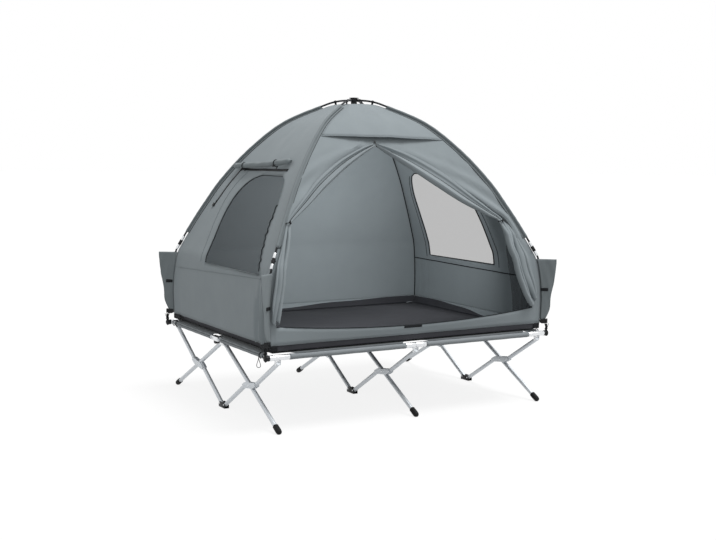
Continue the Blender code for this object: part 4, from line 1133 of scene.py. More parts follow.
@dataclass
class DoorFlaps:
    """The door's two halves, drawn aside along its edges to their ties and hanging in folds below them."""

    heights: tuple = (1.585, 1.530, 1.450, 1.350, 1.250, 1.165, 1.135, 1.06, 0.95, 0.82, 0.70, 0.600)
    halves: tuple = (
        Flap(Hand.LEFT,
             (-0.150, -0.345, -0.545, -0.715, -0.840, -0.945, -0.955, -0.940, -0.928, -0.924, -0.938, -0.952),
             (0.024, 0.046, 0.064, 0.068, 0.052, 0.028, 0.022, 0.036, 0.048, 0.054, 0.052, 0.042), 1.150),
        Flap(Hand.RIGHT,
             (-0.120, 0.010, 0.210, 0.405, 0.580, 0.770, 0.852, 0.845, 0.806, 0.806, 0.842, 0.888),
             (0.026, 0.068, 0.108, 0.122, 0.102, 0.056, 0.032, 0.056, 0.090, 0.100, 0.092, 0.066), 1.124))
    columns: int = 48
    rows: int = 100
    stand: float = 0.0035
    cloth: float = 0.0011
    fold_width: float = 0.030
    thickest: float = 0.062
    drop: float = 1.15

    def build(self) -> None:
        """Hangs both halves and ties them back."""
        for flap in self.halves:
            edge, breadth = (Edge(self.heights[::-1], line[::-1]) for line in (flap.shares, flap.widths))
            self.hang(flap, edge, breadth)
            self.bind(flap, edge, breadth)

    def hang(self, flap: Flap, edge: Edge, breadth: Edge) -> None:
        """Hangs one half, with its zip's coil down its upper part.

        Args:
            flap: Which half.
            edge: Its inner edge.
            breadth: Its folded width.
        """
        out, name = flap.hand.value, flap.hand.label
        line = np.linspace(self.heights[0], self.heights[-1], self.rows + 1)
        spots = [CLOTH.off(Side.FRONT, height, edge.at(height), 0.0) for height in line]
        rows = []
        for index, (height, start) in enumerate(zip(line, spots)):
            lean = ARCH.lean(Side.FRONT, ARCH.at_height(height))
            across = lean.cross(spots[min(index + 1, self.rows)] - spots[max(index - 1, 0)]).normalized()
            across *= math.copysign(1.0, across.x * out)
            hem = UP * 0.016 * ease(0.72, 0.60, height)
            row = []
            for share in np.linspace(0.0, 1.0, self.columns + 1):
                aside, off = self.fold(flap, share, breadth.at(height), height)
                row.append(start + across * aside + lean * off + hem * math.sin(9.0 * share + out))
            rows.append(row)
        cloth = make_piece(f"door_flap_cloth_{name}", [sheet_of(rows)], CANOPY, "tent", (f"door_flap_{name}",),
                           self.cloth, Side.FRONT.outward, 60.0)
        coil = [row[self.columns // 2] for row, height in zip(rows, line) if height > flap.tie]
        make_line(f"door_zip_coil_{name}", coil, 0.0020, ZIP)

    def fold(self, flap: Flap, share: float, width: float, height: float) -> tuple[float, float]:
        """How the cloth lies at a share of its folded width: gathered flat above the tie, in deep folds below.

        Args:
            flap: Which half.
            share: From the door's edge to the outer side.
            width: The flap's width when folded.
            height: The height.

        Returns:
            Metres across and out.
        """
        count, deep, crest, tilt = 1.0 + width / self.fold_width, 0.62, 0.8, 0.16
        if height > flap.tie:
            count, deep, crest, tilt = 2.0, 0.40, 0.5, 0.02
        thick = min(width, self.thickest)
        drift = 0.45 * math.sin(5.5 * height + 0.7) + 0.2 * math.sin(13.0 * height)
        bent = share + 0.10 * math.sin(math.tau * share + drift)
        phase = (bent * count + 0.12 * drift * math.sin(math.pi * share)) * math.tau
        tight = 1 - 0.5 * ease(0.09, 0.0, abs(height - flap.tie))
        first = 1.0 - ease(0.85, 1.15, bent * count) * (0.34 - 0.26 * math.sin(7.0 * height + 2.0))
        depth = (deep * thick + 0.002) * tight * first
        ridge = ((1 - math.cos(phase)) / 2) ** crest
        crease = 0.03 * thick * math.sin(phase * 2.5 + 4.0 * height) * math.sin(math.pi * share)
        return width * share - tilt * thick * math.sin(phase) - 0.004, self.stand + depth * ridge + crease

    def bind(self, flap: Flap, edge: Edge, breadth: Edge) -> None:
        """The tie that holds a flap back: a loop of tape and its toggle.

        Args:
            flap: Which half.
            edge: Its inner edge.
            breadth: Its folded width.
        """
        width, name = breadth.at(flap.tie), flap.hand.label
        start = CLOTH.off(Side.FRONT, flap.tie, edge.at(flap.tie), 0.0)
        lean = ARCH.lean(Side.FRONT, ARCH.at_height(flap.tie))
        along = ALONG * flap.hand.value
        loop = [start + along * (width * 0.42 - math.cos(turn) * (width * 0.55 + 0.004))
                + lean * (0.002 + math.sin(turn) * (self.stand + 0.42 * width + 0.004))
                for turn in np.linspace(0.0, math.pi, 17)]
        make_line(f"door_tie_{name}", loop, 0.0026, WEBBING)
        bead = start + along * (width * 0.30) + lean * (self.stand + 0.44 * width + 0.008)
        make_toggle(f"door_toggle_{name}", bead, UP * 0.011)


def make_toggle(name: str, middle: Vector, half: Vector) -> None:
    """Makes a toggle's moulded bead, from its middle and half its length."""
    make_piece(name, [tube(middle - half, middle + half, 0.0042, 16, 0.002)], NYLON)


@dataclass
class Windows:
    """The side windows: their net, the cover rolled up above it, its toggles and its zip."""

    roll_radius: float = 0.021
    roll_ends: tuple = ((-0.685, 1.480), (0.92, 1.440))
    roll_turns: float = 2.35
    ties: tuple = (0.24, 0.80)
    zip_line: Edge = field(default_factory=lambda: Edge((1.190, 1.228, 1.32, 1.418, 1.440),
                                                        (0.800, 0.783, 0.765, 0.748, 0.735)))
    seam: Edge = field(default_factory=lambda: Edge((0.86, 1.02, 1.205, 1.34, 1.44),
                                                    (0.43, 0.50, 0.585, 0.575, 0.50)))

    def build(self) -> None:
        """Fits both windows; the right wall's roll and zip are the left wall's, mirrored."""
        for side in WINDOWS:
            self.net(side)
            self.roll(side, -side.value[0])
            self.zip(side, -side.value[0])

    def net(self, side: Side) -> None:
        """The net in a window's opening, with a slight belly.

        Args:
            side: The wall.
        """
        hole = OPENINGS[side]

        def spot(up: float, across: float) -> Vector:
            """A point of the net.

            Args:
                up: The share of the opening's height.
                across: The share of its width.

            Returns:
                The point.
            """
            height = hole.low + (hole.high - hole.low) * up
            front, rear = hole.front.at(height), hole.rear.at(height)
            belly = 0.004 * math.sin(math.pi * across) * math.sin(math.pi * up)
            return CLOTH.off(side, height, front + (rear - front) * across, -0.0012 - belly)

        net = make_piece(f"window_net_{side.label}", [sheet_of(grid(25, 24, spot))], NET, "tent",
                         (f"window_mesh_{side.label}",), 0.0006)

    def roll(self, side: Side, turn: float) -> None:
        """A window's cover, rolled up and held by two toggles.

        Args:
            side: The wall.
            turn: 1 on the left wall, and -1 on the right wall.
        """
        start, end = (CLOTH.off(side, height, share * turn, 0.0)
                      + ARCH.lean(side, ARCH.at_height(height)) * (self.roll_radius + 0.001)
                      for share, height in self.roll_ends)
        length, axis = (end - start).length, (end - start).normalized()
        lean = ARCH.lean(side, ARCH.at_height(1.46))
        down = axis.cross(lean)
        down *= -math.copysign(1.0, down.z)

        def spot(along: float, wound: float) -> Vector:
            """A point of the roll.

            Args:
                along: The share of its length.
                wound: The share of its winding.

            Returns:
                The point.
            """
            tied = min(abs(along - tie) * length for tie in self.ties)
            pinch = 1 - 0.16 * math.exp(-(tied / 0.018) ** 2)
            closed = 1 - 0.55 * (ease(0.05, 0.0, along) + ease(0.95, 1.0, along))
            angle = self.roll_turns * math.tau * wound
            lump = 1 + 0.08 * math.sin(9.0 * along + angle) + 0.05 * math.sin(31.0 * along + 2 * angle)
            size = self.roll_radius * (0.20 + 0.80 * wound) * pinch * lump * closed
            droop = 0.006 * math.sin(math.pi * along)
            return (start + axis * along * length + lean * math.cos(angle) * size
                    + down * (droop - math.sin(angle) * size))

        name = side.label
        # The rolled cover takes the canopy cloth painted a shade darker for shade
        roll = make_piece(f"window_cover_{name}", [sheet_of(grid(72, 56, spot))], SHADED_CANOPY, "tent",
                          (f"window_roll_{name}",), 0.0009, angle=60.0)
        for number, tie in enumerate(self.ties):
            centre = start + axis * tie * length + down * 0.004
            around = self.roll_radius * 0.97
            ring = arc(centre, lean * around, down * around, np.degrees(np.linspace(-2.6, 2.9, 24)))
            ring += [ring[-1] + down * 0.008, ring[-1] + down * 0.022 + lean * 0.002]
            make_line(f"cover_tie_{name}_{number}", ring, 0.0024, WEBBING)
            bead = centre + down * (self.roll_radius + 0.004) + lean * 0.006
            make_toggle(f"cover_toggle_{name}_{number}", bead, axis * 0.010)

    def zip(self, side: Side, turn: float) -> None:
        """The cover's zip, which runs down from the roll's far end to its stop and level beneath the roll, and the
        panel's seam. The level run beneath the roll is dark tape for the zip's track and for the roll's painted
        shadow on the wall.

        Args:
            side: The wall.
            turn: 1 on the left wall, and -1 on the right wall.
        """
        line = [CLOTH.off(side, height, self.zip_line.at(height) * turn, 0.0022)
                for height in np.linspace(1.205, 1.430, 26)]
        # Level run beneath the roll: zip track, and a painted shadow of the roll on the wall
        line += [CLOTH.off(side, 1.436 + 0.006 * step, (0.70 - 1.32 * step) * turn, 0.0022)
                 for step in np.linspace(0.0, 1.0, 31)]
        tape = ribbon(line, ARCH.lean(side, ARCH.at_height(1.32)), 0.016)
        make_piece(f"cover_zip_{side.label}", [tape], ZIP, thickness=0.0016)
        lean = ARCH.lean(side, ARCH.at_height(1.20))
        stop = facing(line[0] + lean * 0.003, lean, line[0] - line[2])
        make_piece(f"cover_zip_stop_{side.label}", [block((0.026, 0.022, 0.007), stop, 0.0025)], NYLON)
        seam = [CLOTH.off(side, height, self.seam.at(height) * turn, 0.0006)
                for height in np.linspace(0.865, 1.43, 30)]
        make_line(f"window_panel_seam_{side.label}", seam, 0.0018, SHADED_CANOPY)


@dataclass
class InnerScreen:
    """The door's net, drawn aside behind the right flap."""

    heights: tuple = (0.575, 0.66, 0.78, 0.875, 0.95, 1.03, 1.10)
    edge: tuple = (0.772, 0.770, 0.764, 0.768, 0.795, 0.860, 0.925)
    outer: float = 0.950
    length: float = 0.54

    def build(self) -> None:
        """Hangs the net's gathered edge inside the doorway's right side."""
        inner, low, high = Edge(self.heights, self.edge), self.heights[0], self.heights[-1]

        def spot(down: float, share: float) -> Vector:
            """A point of the net.

            Args:
                down: The share of its height, from the top.
                share: The share of its width, from the outer side.

            Returns:
                The point.
            """
            height = high - (high - low) * down
            wave = 0.004 * math.sin(share * 17.0 + 2.0 * height) * ease(0.0, 0.2, down)
            across = self.outer - (self.outer - inner.at(height)) * share
            return CLOTH.off(Side.FRONT, height, across, -0.012 - wave)

        net = make_piece("door_net", [sheet_of(grid(30, 24, spot))], NET, thickness=0.0006,
                         outward=Side.FRONT.outward)


@dataclass
class Poles:
    """The four poles: glass-fibre rods, elbows with bright ferrules, sleeves and clips."""

    sleeve_start: float = 0.205
    sleeve_end: float = 1.082
    flange: tuple = ((0.018, 0.0010), (0.011, 0.0018))
    ferrule: float = 0.034
    ferrule_radius: float = 0.0090
    knuckle: float = 0.030
    knuckle_radius: float = 0.0104
    clip_reach: float = 0.115

    def build(self) -> None:
        """Raises each pole."""
        for corner in Corner:
            line = [ARCH.on_pole(corner, place) for place in np.linspace(2.2, ARCH.end, 90)]
            make_piece(f"{corner.label}_rod", [wire(line, POLE_RADIUS, 4)], ROD, "tent", (f"{corner.label}_pole",))
            self.elbow(corner)
            self.sleeve(corner)
            self.clip(corner)

    def elbow(self, corner: Corner) -> None:
        """The knuckle between its two ferrules.

        Args:
            corner: Which pole.
        """
        middle = ARCH.on_pole(corner, ARCH.elbow)
        ferrules, knuckle = [], []
        for sign in (-1, 1):
            ahead = (ARCH.on_pole(corner, ARCH.elbow + sign * 3.0) - middle).normalized()
            near = middle + ahead * self.knuckle / 2
            ferrules.append(tube(near, near + ahead * self.ferrule, self.ferrule_radius, 24, 0.0012))
            knuckle.append(tube(middle - ahead * 0.002, near + ahead * 0.003, self.knuckle_radius, 24, 0.002))
        pin = corner.across * 0.0125
        knuckle.append(tube(middle - pin, middle + pin, 0.0062, 20, 0.001))
        make_piece(f"{corner.label}_ferrules", ferrules, BRIGHT)
        make_piece(f"{corner.label}_knuckle", knuckle, NYLON)

    def sleeve(self, corner: Corner) -> None:
        """The cloth sleeve that the pole runs through, sewn to both walls, with piping along its edges.

        Args:
            corner: Which pole.
        """
        long_wall, short_wall = corner.walls
        sign_x, sign_y = corner.value
        rows = []
        for place in np.linspace(ARCH.at_reach(self.sleeve_start), ARCH.at_reach(self.sleeve_end), 60):
            reach = ARCH.cloth_at(place)[0]
            pucker = 1 + 0.05 * math.sin(place * 2.4) + 0.03 * math.sin(place * 5.1 + 1)
            size = (POLE_RADIUS + 0.0018) * pucker
            rows.append([
                *(ARCH.on_wall(long_wall, place, sign_x * (1 - width / (reach * SHARE_X)), out)
                  for width, out in self.flange),
                *(ARCH.on_pole(corner, place, size * math.cos(turn), sign_x * sign_y * size * math.sin(turn))
                  for turn in np.radians(np.linspace(-112, 112, 11))),
                *(ARCH.on_wall(short_wall, place, sign_y * (1 - width / (reach * SHARE_Y)), out)
                  for width, out in self.flange[::-1])])
        sleeve = make_piece(f"{corner.label}_sleeve", [sheet_of(rows)], SLEEVE, thickness=0.0009, angle=70.0)
        length = run_of([row[0] for row in rows])[-1]
        for number, column in enumerate((0, -1)):
            make_line(f"{corner.label}_sleeve_piping_{number}", [row[column] for row in rows], 0.0015, BINDING)

    def clip(self, corner: Corner) -> None:
        """The moulded clip that holds the crown up to the pole.

        Args:
            corner: Which pole.
        """
        place = ARCH.at_reach(self.clip_reach)
        ahead = ARCH.on_pole(corner, place + 1) - ARCH.on_pole(corner, place - 1)
        centre, foot = ARCH.on_pole(corner, place), ARCH.on_pole(corner, place, -0.024)
        half = ahead.normalized() * 0.007
        stem = facing((centre + foot) / 2, ARCH.pole_lean(corner, place), ahead)
        make_piece(f"{corner.label}_clip", [tube(centre - half, centre + half, 0.0088, 24, 0.0012),
                                            block((0.007, 0.012, 0.020), stem, 0.0012)], NYLON)


@dataclass
class Hub:
    """The hub on the crown: cap, body with four pairs of cheeks, and the plate that holds the canopy."""

    top: float = 1.880
    core_radius: float = 0.019
    body_radius: float = 0.022
    base_radius: float = 0.030
    cheek: tuple = ((-0.012, -0.007), (0.008, -0.007), (0.011, 0.0), (0.008, 0.007), (-0.012, 0.007))

    def build(self) -> None:
        """Turns the hub's parts."""
        seat = ARCH.cloth_at(ARCH.at_reach(self.body_radius))[1] + CLOTH.cloth
        upright = Matrix.Identity(4)
        core, body, base = self.core_radius, self.body_radius, self.base_radius
        cap = [(radius, self.top + rise) for radius, rise in (
            (0.0, 0.0003), (0.029, 0.0003), (0.031, 0.0014), (0.0305, 0.0032), (0.026, 0.0052), (0.018, 0.0064),
            (0.0, 0.0068))]
        make_piece("hub_cap_moulding", [lathe(cap, upright, 40)], NYLON, "tent", ("hub_cap",))
        shells = [lathe(((0.0, seat + 0.001), (core, seat + 0.001), (core, self.top - 0.020),
                         (body, self.top - 0.018), (body, self.top - 0.001), (body - 0.002, self.top),
                         (0.0, self.top)), upright, 40)]
        for corner in Corner:
            spot = corner.outward.normalized() * 0.030 + UP * (self.top - 0.0105)
            for side in (-1, 1):
                place = facing(spot + corner.across.normalized() * side * 0.0082, corner.across, UP)
                shells.append(slab(self.cheek, 0.003, place, 0.0008))
        make_piece("hub_arms", shells, NYLON, "tent", ("hub_body",))
        low, high = seat - 0.0006, seat + 0.003
        plate = ((0.0, low), (base, low), (base + 0.001, seat + 0.001), (base - 0.002, high), (0.0, high))
        make_piece("hub_plate", [lathe(plate, upright, 40)], BRIGHT)


@dataclass
class CornerCovers:
    """At each corner: the pole foot's pocket with its band, the patch, the buckle and the strap to the cot."""

    heights: tuple = (0.512, 0.575, 0.66, 0.76, 0.89)
    tips: tuple = (0.020, 0.044, 0.050, 0.075, 0.109)
    laps: tuple = (0.0155, 0.006)
    band_height: float = 0.700
    buckle_bottom: float = 0.485
    buckle_length: float = 0.050
    buckle_width: float = 0.024
    prong: tuple = ((-0.006, -0.014), (0.006, -0.011), (0.007, 0.006), (0.002, 0.015), (-0.006, 0.015))
    bar_hook: float = 0.0178
    bar_hook_places: tuple = (0.690, 0.640)

    def build(self) -> None:
        """Sews and buckles each corner."""
        for corner in Corner:
            self.pocket(corner)
            self.patch(corner)
            self.buckle(corner)
            self.strap(corner)

    def pocket(self, corner: Corner) -> None:
        """The two-layer fin of cloth round the lower pole, with its edge and its band.

        Args:
            corner: Which corner.
        """
        tips, name, low, high = Edge(self.heights, self.tips), corner.label, self.heights[0], self.heights[-1]
        right, left = self.laps[::-1] if corner.value[0] * corner.value[1] > 0 else self.laps
        half, round_it = POLE_RADIUS + 0.0016, POLE_RADIUS + 0.002
        rows, edge = [], []
        for height in np.linspace(low, high, 41):
            pole, tip = ARCH.pole_reach(height), tips.at(height)
            fin = ((0.0, half + 0.0012), (round_it, half), (tip * 0.4, 0.0062), (tip * 0.7, 0.0042), (tip, 0.0012))
            outline = ((-right, half + 0.001), *fin, *((out, -across) for out, across in fin[::-1]),
                       (-left, -half - 0.001))
            row = []
            for out, across in smooth_line(outline, 3):
                crumple = 0.0016 * math.sin(out * 90 + height * 23) * ease(0.01, 0.04, out)
                crumple *= 1 if across > 0 else -1
                row.append(corner.outward * (pole + out) + corner.across * (across + crumple) + UP * height)
            rows.append(row)
            edge.append(corner.outward * (pole + tip) + UP * height)
        pocket = make_piece(f"{name}_pocket", [sheet_of(rows)], SLEEVE, "tent", (f"{name}_corner",), 0.0009,
                            angle=50.0)
        make_line(f"{name}_pocket_edge", edge, 0.0018, SLEEVE)
        middle = corner.outward * (ARCH.pole_reach(self.band_height) + 0.012) + UP * self.band_height
        band = block((0.046, 0.021, 0.020), facing(middle, UP, corner.across), 0.003)
        make_piece(f"{name}_band", [band], WEBBING)

    def patch(self, corner: Corner) -> None:
        """The webbing patch sewn round the tent's lower corner.

        Args:
            corner: Which corner.
        """
        for wall, sign, reach in zip(corner.walls, corner.value, (0.045, 0.150)):
            rows = grid(4, 10, lambda up, share: ARCH.on_wall(
                wall, ARCH.at_height(0.457 + 0.030 * up), sign * (0.994 - reach * share), 0.0030))
            make_piece(f"{corner.label}_patch_{wall.label}", [sheet_of(rows)], WEBBING, thickness=0.0020,
                       outward=wall.outward)

    def buckle(self, corner: Corner) -> None:
        """The side-release buckle under the pole's foot.

        Args:
            corner: Which corner.
        """
        reach = max(ARCH.cloth_at(ARCH.at_height(height))[0] for height in (self.buckle_bottom, ARCH.foot))
        middle = corner.outward * (reach + 0.0006 + self.buckle_length / 2) + UP * (self.buckle_bottom + 0.0158)
        place = facing(middle, corner.across, UP)
        length, width = self.buckle_length, self.buckle_width
        shells = [block((length * 0.62, 0.030, width * 0.56), place, 0.003)]
        for sign in (-1, 1):
            shift = Matrix.Translation((sign * length * 0.36, 0.001, 0.0))
            shells.append(slab(self.prong, width * 0.8, place @ shift, 0.002))
        for deep, rise in ((0.008, 0.009), (0.006, -0.011)):
            shift = Matrix.Translation((0.0, rise, 0.0))
            shells.append(block((length * 0.5, deep, width), place @ shift, 0.002))
        make_piece(f"{corner.label}_buckle", shells, NYLON)

    def strap(self, corner: Corner) -> None:
        """The strap that drops from the buckle to a hook round the rail's cap, two hooks on the bar, and a guy.

        Args:
            corner: Which corner.
        """
        sign_x, sign_y = corner.value
        name, side = corner.label, Vector((0.0, float(sign_y), 0.0))
        spot = Vector((sign_x * (COT_LENGTH / 2 - 0.0095), sign_y * COT_WIDTH / 2, 0.0))
        top, low = self.buckle_bottom - 0.0006, RAIL_HEIGHT + CAP_RADIUS
        rows = grid(12, 6, lambda up, share: spot + ALONG * 0.016 * (share - 0.5)
                    + side * 0.002 * math.sin(math.pi * up) + UP * (low + (top - low) * up))
        make_piece(f"{name}_webbing", [sheet_of(rows)], WEBBING, corner.rail, (), 0.0022, side)
        ring = CAP_RADIUS + 0.0022
        hook = arc(spot + UP * RAIL_HEIGHT, side * ring, UP * ring, np.linspace(90.0, -160.0, 25))
        eye = arc(spot + UP * (low + 0.0095), ALONG * 0.010, UP * 0.0068, np.linspace(0.0, 360.0, 17))
        make_piece(f"{name}_hook", [wire(hook, 0.0024, 3), wire(eye, 0.0018, 3)], NYLON, corner.rail)
        for number, level in enumerate(self.bar_hook_places):
            bar = Vector((sign_x * BAR_PLACE, sign_y * level, RAIL_HEIGHT))
            ring = arc(bar, ALONG * sign_x * self.bar_hook, UP * self.bar_hook, np.linspace(120.0, -75.0, 22))
            make_piece(f"{name}_bar_hook_{number}", [wire(ring, 0.0026, 3)], NYLON,
                       corner.rail.replace("rail", "bars"))
        for number, way in enumerate((-1, 1)):
            cord = [spot + ALONG * way * (0.004 + 0.012 * share) + side * 0.004
                    + UP * (low + 0.012 + (top - low - 0.012) * share) for share in np.linspace(0.0, 1.0, 9)]
            make_piece(f"{name}_guy_{number}", [wire(cord, 0.0015)], WEBBING, corner.rail)


@dataclass
class FloorTray:
    """The tent's floor: a shallow tray of laminated cloth whose rim turns up inside the walls."""

    rise: float = 0.047
    clearance: float = 0.0042
    hem_start: float = 0.966
    hem_end: float = 0.998
    fold_length: float = 3.1
    steps: int = 24

    def __post_init__(self) -> None:
        """Works out half the floor's length and width."""
        reach = ARCH.cloth_at(ARCH.at_height(FLOOR_LEVEL + self.rise))[0] - self.clearance
        self.half_x, self.half_y = reach * SHARE_X, reach * SHARE_Y

    def build(self) -> None:
        """Lays the floor, turns its rim up and lines it with the walls' hem."""
        shell = sheet_of(grid(44, 56, self.lie))
        floor = make_piece("floor_cloth", [shell], FLOOR, "tent", ("tent_floor",), 0.0012, UP)
        wide = self.hem_end - self.hem_start
        rows = [[self.rim(self.hem_start + wide * up, spot) for spot in range(4 * self.steps + 1)]
                for up in np.linspace(0.0, 1.0, 9)]
        hem = make_piece("wall_hem", [sheet_of(rows)], CANOPY, "tent", (), 0.001, UP)
        make_line("floor_binding", rows[0], 0.0036, BINDING)
        self.fold_up(0.0022)

    def lie(self, back: float, right: float) -> Vector:
        """A point of the floor, with its ripples, its crease and its rim.

        Args:
            back: The share of the way from front to back.
            right: The share of the way from left to right.

        Returns:
            The point.
        """
        across, along = (share * (1.35 - 0.35 * share * share) for share in (2 * right - 1, 2 * back - 1))
        far = max(abs(across), abs(along))
        ripple = 0.0030 * (1 + math.sin(9.0 * across + 4.0 * along))
        ripple += 0.0020 * (1 + math.sin(5.0 * across - 11.0 * along + 1.0))
        ripple += 0.0060 * math.exp(-((across - 0.62 + 0.25 * along) / 0.018) ** 2) * ease(0.1, 0.5, along)
        height = FLOOR_LEVEL + 0.0012 + ripple * (1 - ease(0.80, 0.96, far))
        height += self.rise * ease(0.955, 1.0, far) ** 2
        return Vector((across * self.half_x, along * self.half_y, height))

    def rim(self, far: float, spot: int, inset: float = 0.0) -> Vector:
        """A point just inside the rim.

        Args:
            far: Its share of the way out.
            spot: Its place round the floor, counted from the front left corner by the steps of a side.
            inset: How far inside it lies.

        Returns:
            The point.
        """
        marks = ((-1, -1), (1, -1), (1, 1), (-1, 1))
        start, end = (Vector(marks[(spot // self.steps + step) % 4]) for step in (0, 1))
        x, y = start.lerp(end, spot % self.steps / self.steps) * far
        height = FLOOR_LEVEL + 0.0046 + self.rise * ease(0.955, 1.0, far) ** 2
        return Vector((x * (self.half_x - inset), y * (self.half_y - inset), height))

    def fold_up(self, inset: float) -> None:
        """The slack of the floor cloth that stands up against the right and back walls, with its tape end.

        Args:
            inset: How far inside the hem it stands.
        """
        rows = []
        for step in range(7):
            row = []
            for spot in range(26, 72):
                tall = ease(24, 44, spot) * (1 - 0.9 * ease(48, 76, spot)) + 0.04 * math.sin(spot * 0.9)
                far = self.hem_start - 0.003 + (1.0 - self.hem_start) * max(tall, 0.05) * step / 6
                row.append(self.rim(far, spot, inset))
            rows.append(row)
        fold = make_piece("floor_fold", [sheet_of(rows)], FLOOR, "tent", (), 0.0008, UP)
        start = Vector((self.half_x - inset - 0.115, self.half_y - inset - 0.075, FLOOR_LEVEL + 0.0125))
        tab = [start + Vector((0.062 * share, 0.004 * share, 0.004 * math.sin(math.pi * share)))
               for share in np.linspace(0.0, 1.0, 9)]
        make_piece("floor_tape_end", [ribbon(tab, UP, 0.016)], TIGHT, "tent", (), 0.0012, UP)


@dataclass
class Bed:
    """The bed cloth over the frame, and its sleeves round the rails and end bars."""

    half_x: float = 0.9365
    half_y: float = 0.7495
    wrap: float = 0.0194
    lap: float = 0.008
    collar_half: float = 0.072
    end_start: float = 0.824
    bar_start: float = 0.074
    bar_end: float = 0.672
    sleeve_wall: float = 0.0012
    bar_sleeve: float = 0.0148

    def build(self) -> None:
        """Lays the bed cloth and pulls the sleeves on."""
        shell = sheet_of(grid(96, 120, self.lie))
        # The bed cloth is painted darker for the shade that the tent casts on it
        bed = make_piece("bed_cloth", [shell], OXFORD_PAINTED_SHADE, "root", ("bed_sheet",), 0.0012, UP)
        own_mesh(bed)
        for half in Half:
            for hand in Hand:
                spot = half.out * COT_WIDTH / 2
                start, end = (spot + ALONG * hand.value * far for far in (self.collar_half, self.end_start))
                self.sleeve(f"{half.label}_rail_sleeve_{hand.label}", start, end, f"{half.label}_rail",
                            SLEEVE_RADIUS)
        for hand in Hand:
            for half in Half:
                spot = ALONG * hand.value * BAR_PLACE
                self.sleeve(f"{half.label}_bar_sleeve_{hand.label}", spot + half.out * self.bar_start,
                            spot + half.out * self.bar_end, f"{half.label}_bars", self.bar_sleeve)

    def lie(self, back: float, right: float) -> Vector:
        """A point of the bed cloth: flat, cut back at the fittings, lapped over the rails and round the bars.

        Args:
            back: The share of the way from front to back.
            right: The share of the way from left to right.

        Returns:
            The point.
        """
        across, along = 2 * right - 1, 2 * back - 1
        far_x, far_y = abs(across * self.half_x), abs(along * self.half_y)
        by_hinge = max(1 - ease(0.052, 0.078, far_y), ease(0.668, 0.70, far_y))
        by_collar = max(1 - ease(self.collar_half - 0.004, self.collar_half + 0.02, far_x),
                        ease(self.end_start - 0.02, self.end_start + 0.01, far_x))
        x = across * (self.half_x + self.wrap - 0.042 * by_hinge)
        y = along * (self.half_y + self.lap - 0.038 * by_collar)
        over, bend = max(abs(x) - self.half_x, 0.0), self.wrap + 0.0006
        drop = 0.002 * ease(self.half_y - 0.004, self.half_y + self.lap, abs(y)) + bend
        return Vector((x, y, SHEET_TOP - drop + math.sqrt(max(bend ** 2 - over ** 2, 0.0))))

    def sleeve(self, name: str, start: Vector, end: Vector, body: str, radius: float) -> None:
        """One cloth sleeve round a tube.

        Args:
            name: Its name.
            start: One end of its axis, at the floor's level.
            end: The other end.
            body: The body that it moves with.
            radius: Its outer radius.
        """
        lift = UP * RAIL_HEIGHT
        axis, length = (end - start).normalized(), (end - start).length
        sideways = axis.cross(UP)

        def spot(along: float, turned: float) -> Vector:
            """A point of the sleeve.

            Args:
                along: The share of its length.
                turned: The share of the way round.

            Returns:
                The point.
            """
            turn = math.tau * turned
            hems = sum(math.exp(-((run * length - 0.012) / 0.004) ** 2) for run in (along, 1 - along))
            seam = math.exp(-((turn - 4.4) / 0.12) ** 2)
            size = radius + 0.0006 * hems - 0.0008 * seam + 0.0003 * math.sin(2 * turn + 31.0 * along)
            return (start + lift + axis * length * along + sideways * size * math.cos(turn)
                    + UP * size * math.sin(turn))

        bm = sheet_of(grid(round(length / 0.012), 32, spot))
        bmesh.ops.remove_doubles(bm, verts=bm.verts, dist=1e-6)
        sleeve = make_piece(name, [bm], TIGHT, body, (), self.sleeve_wall, heart=(start + end) / 2 + lift)


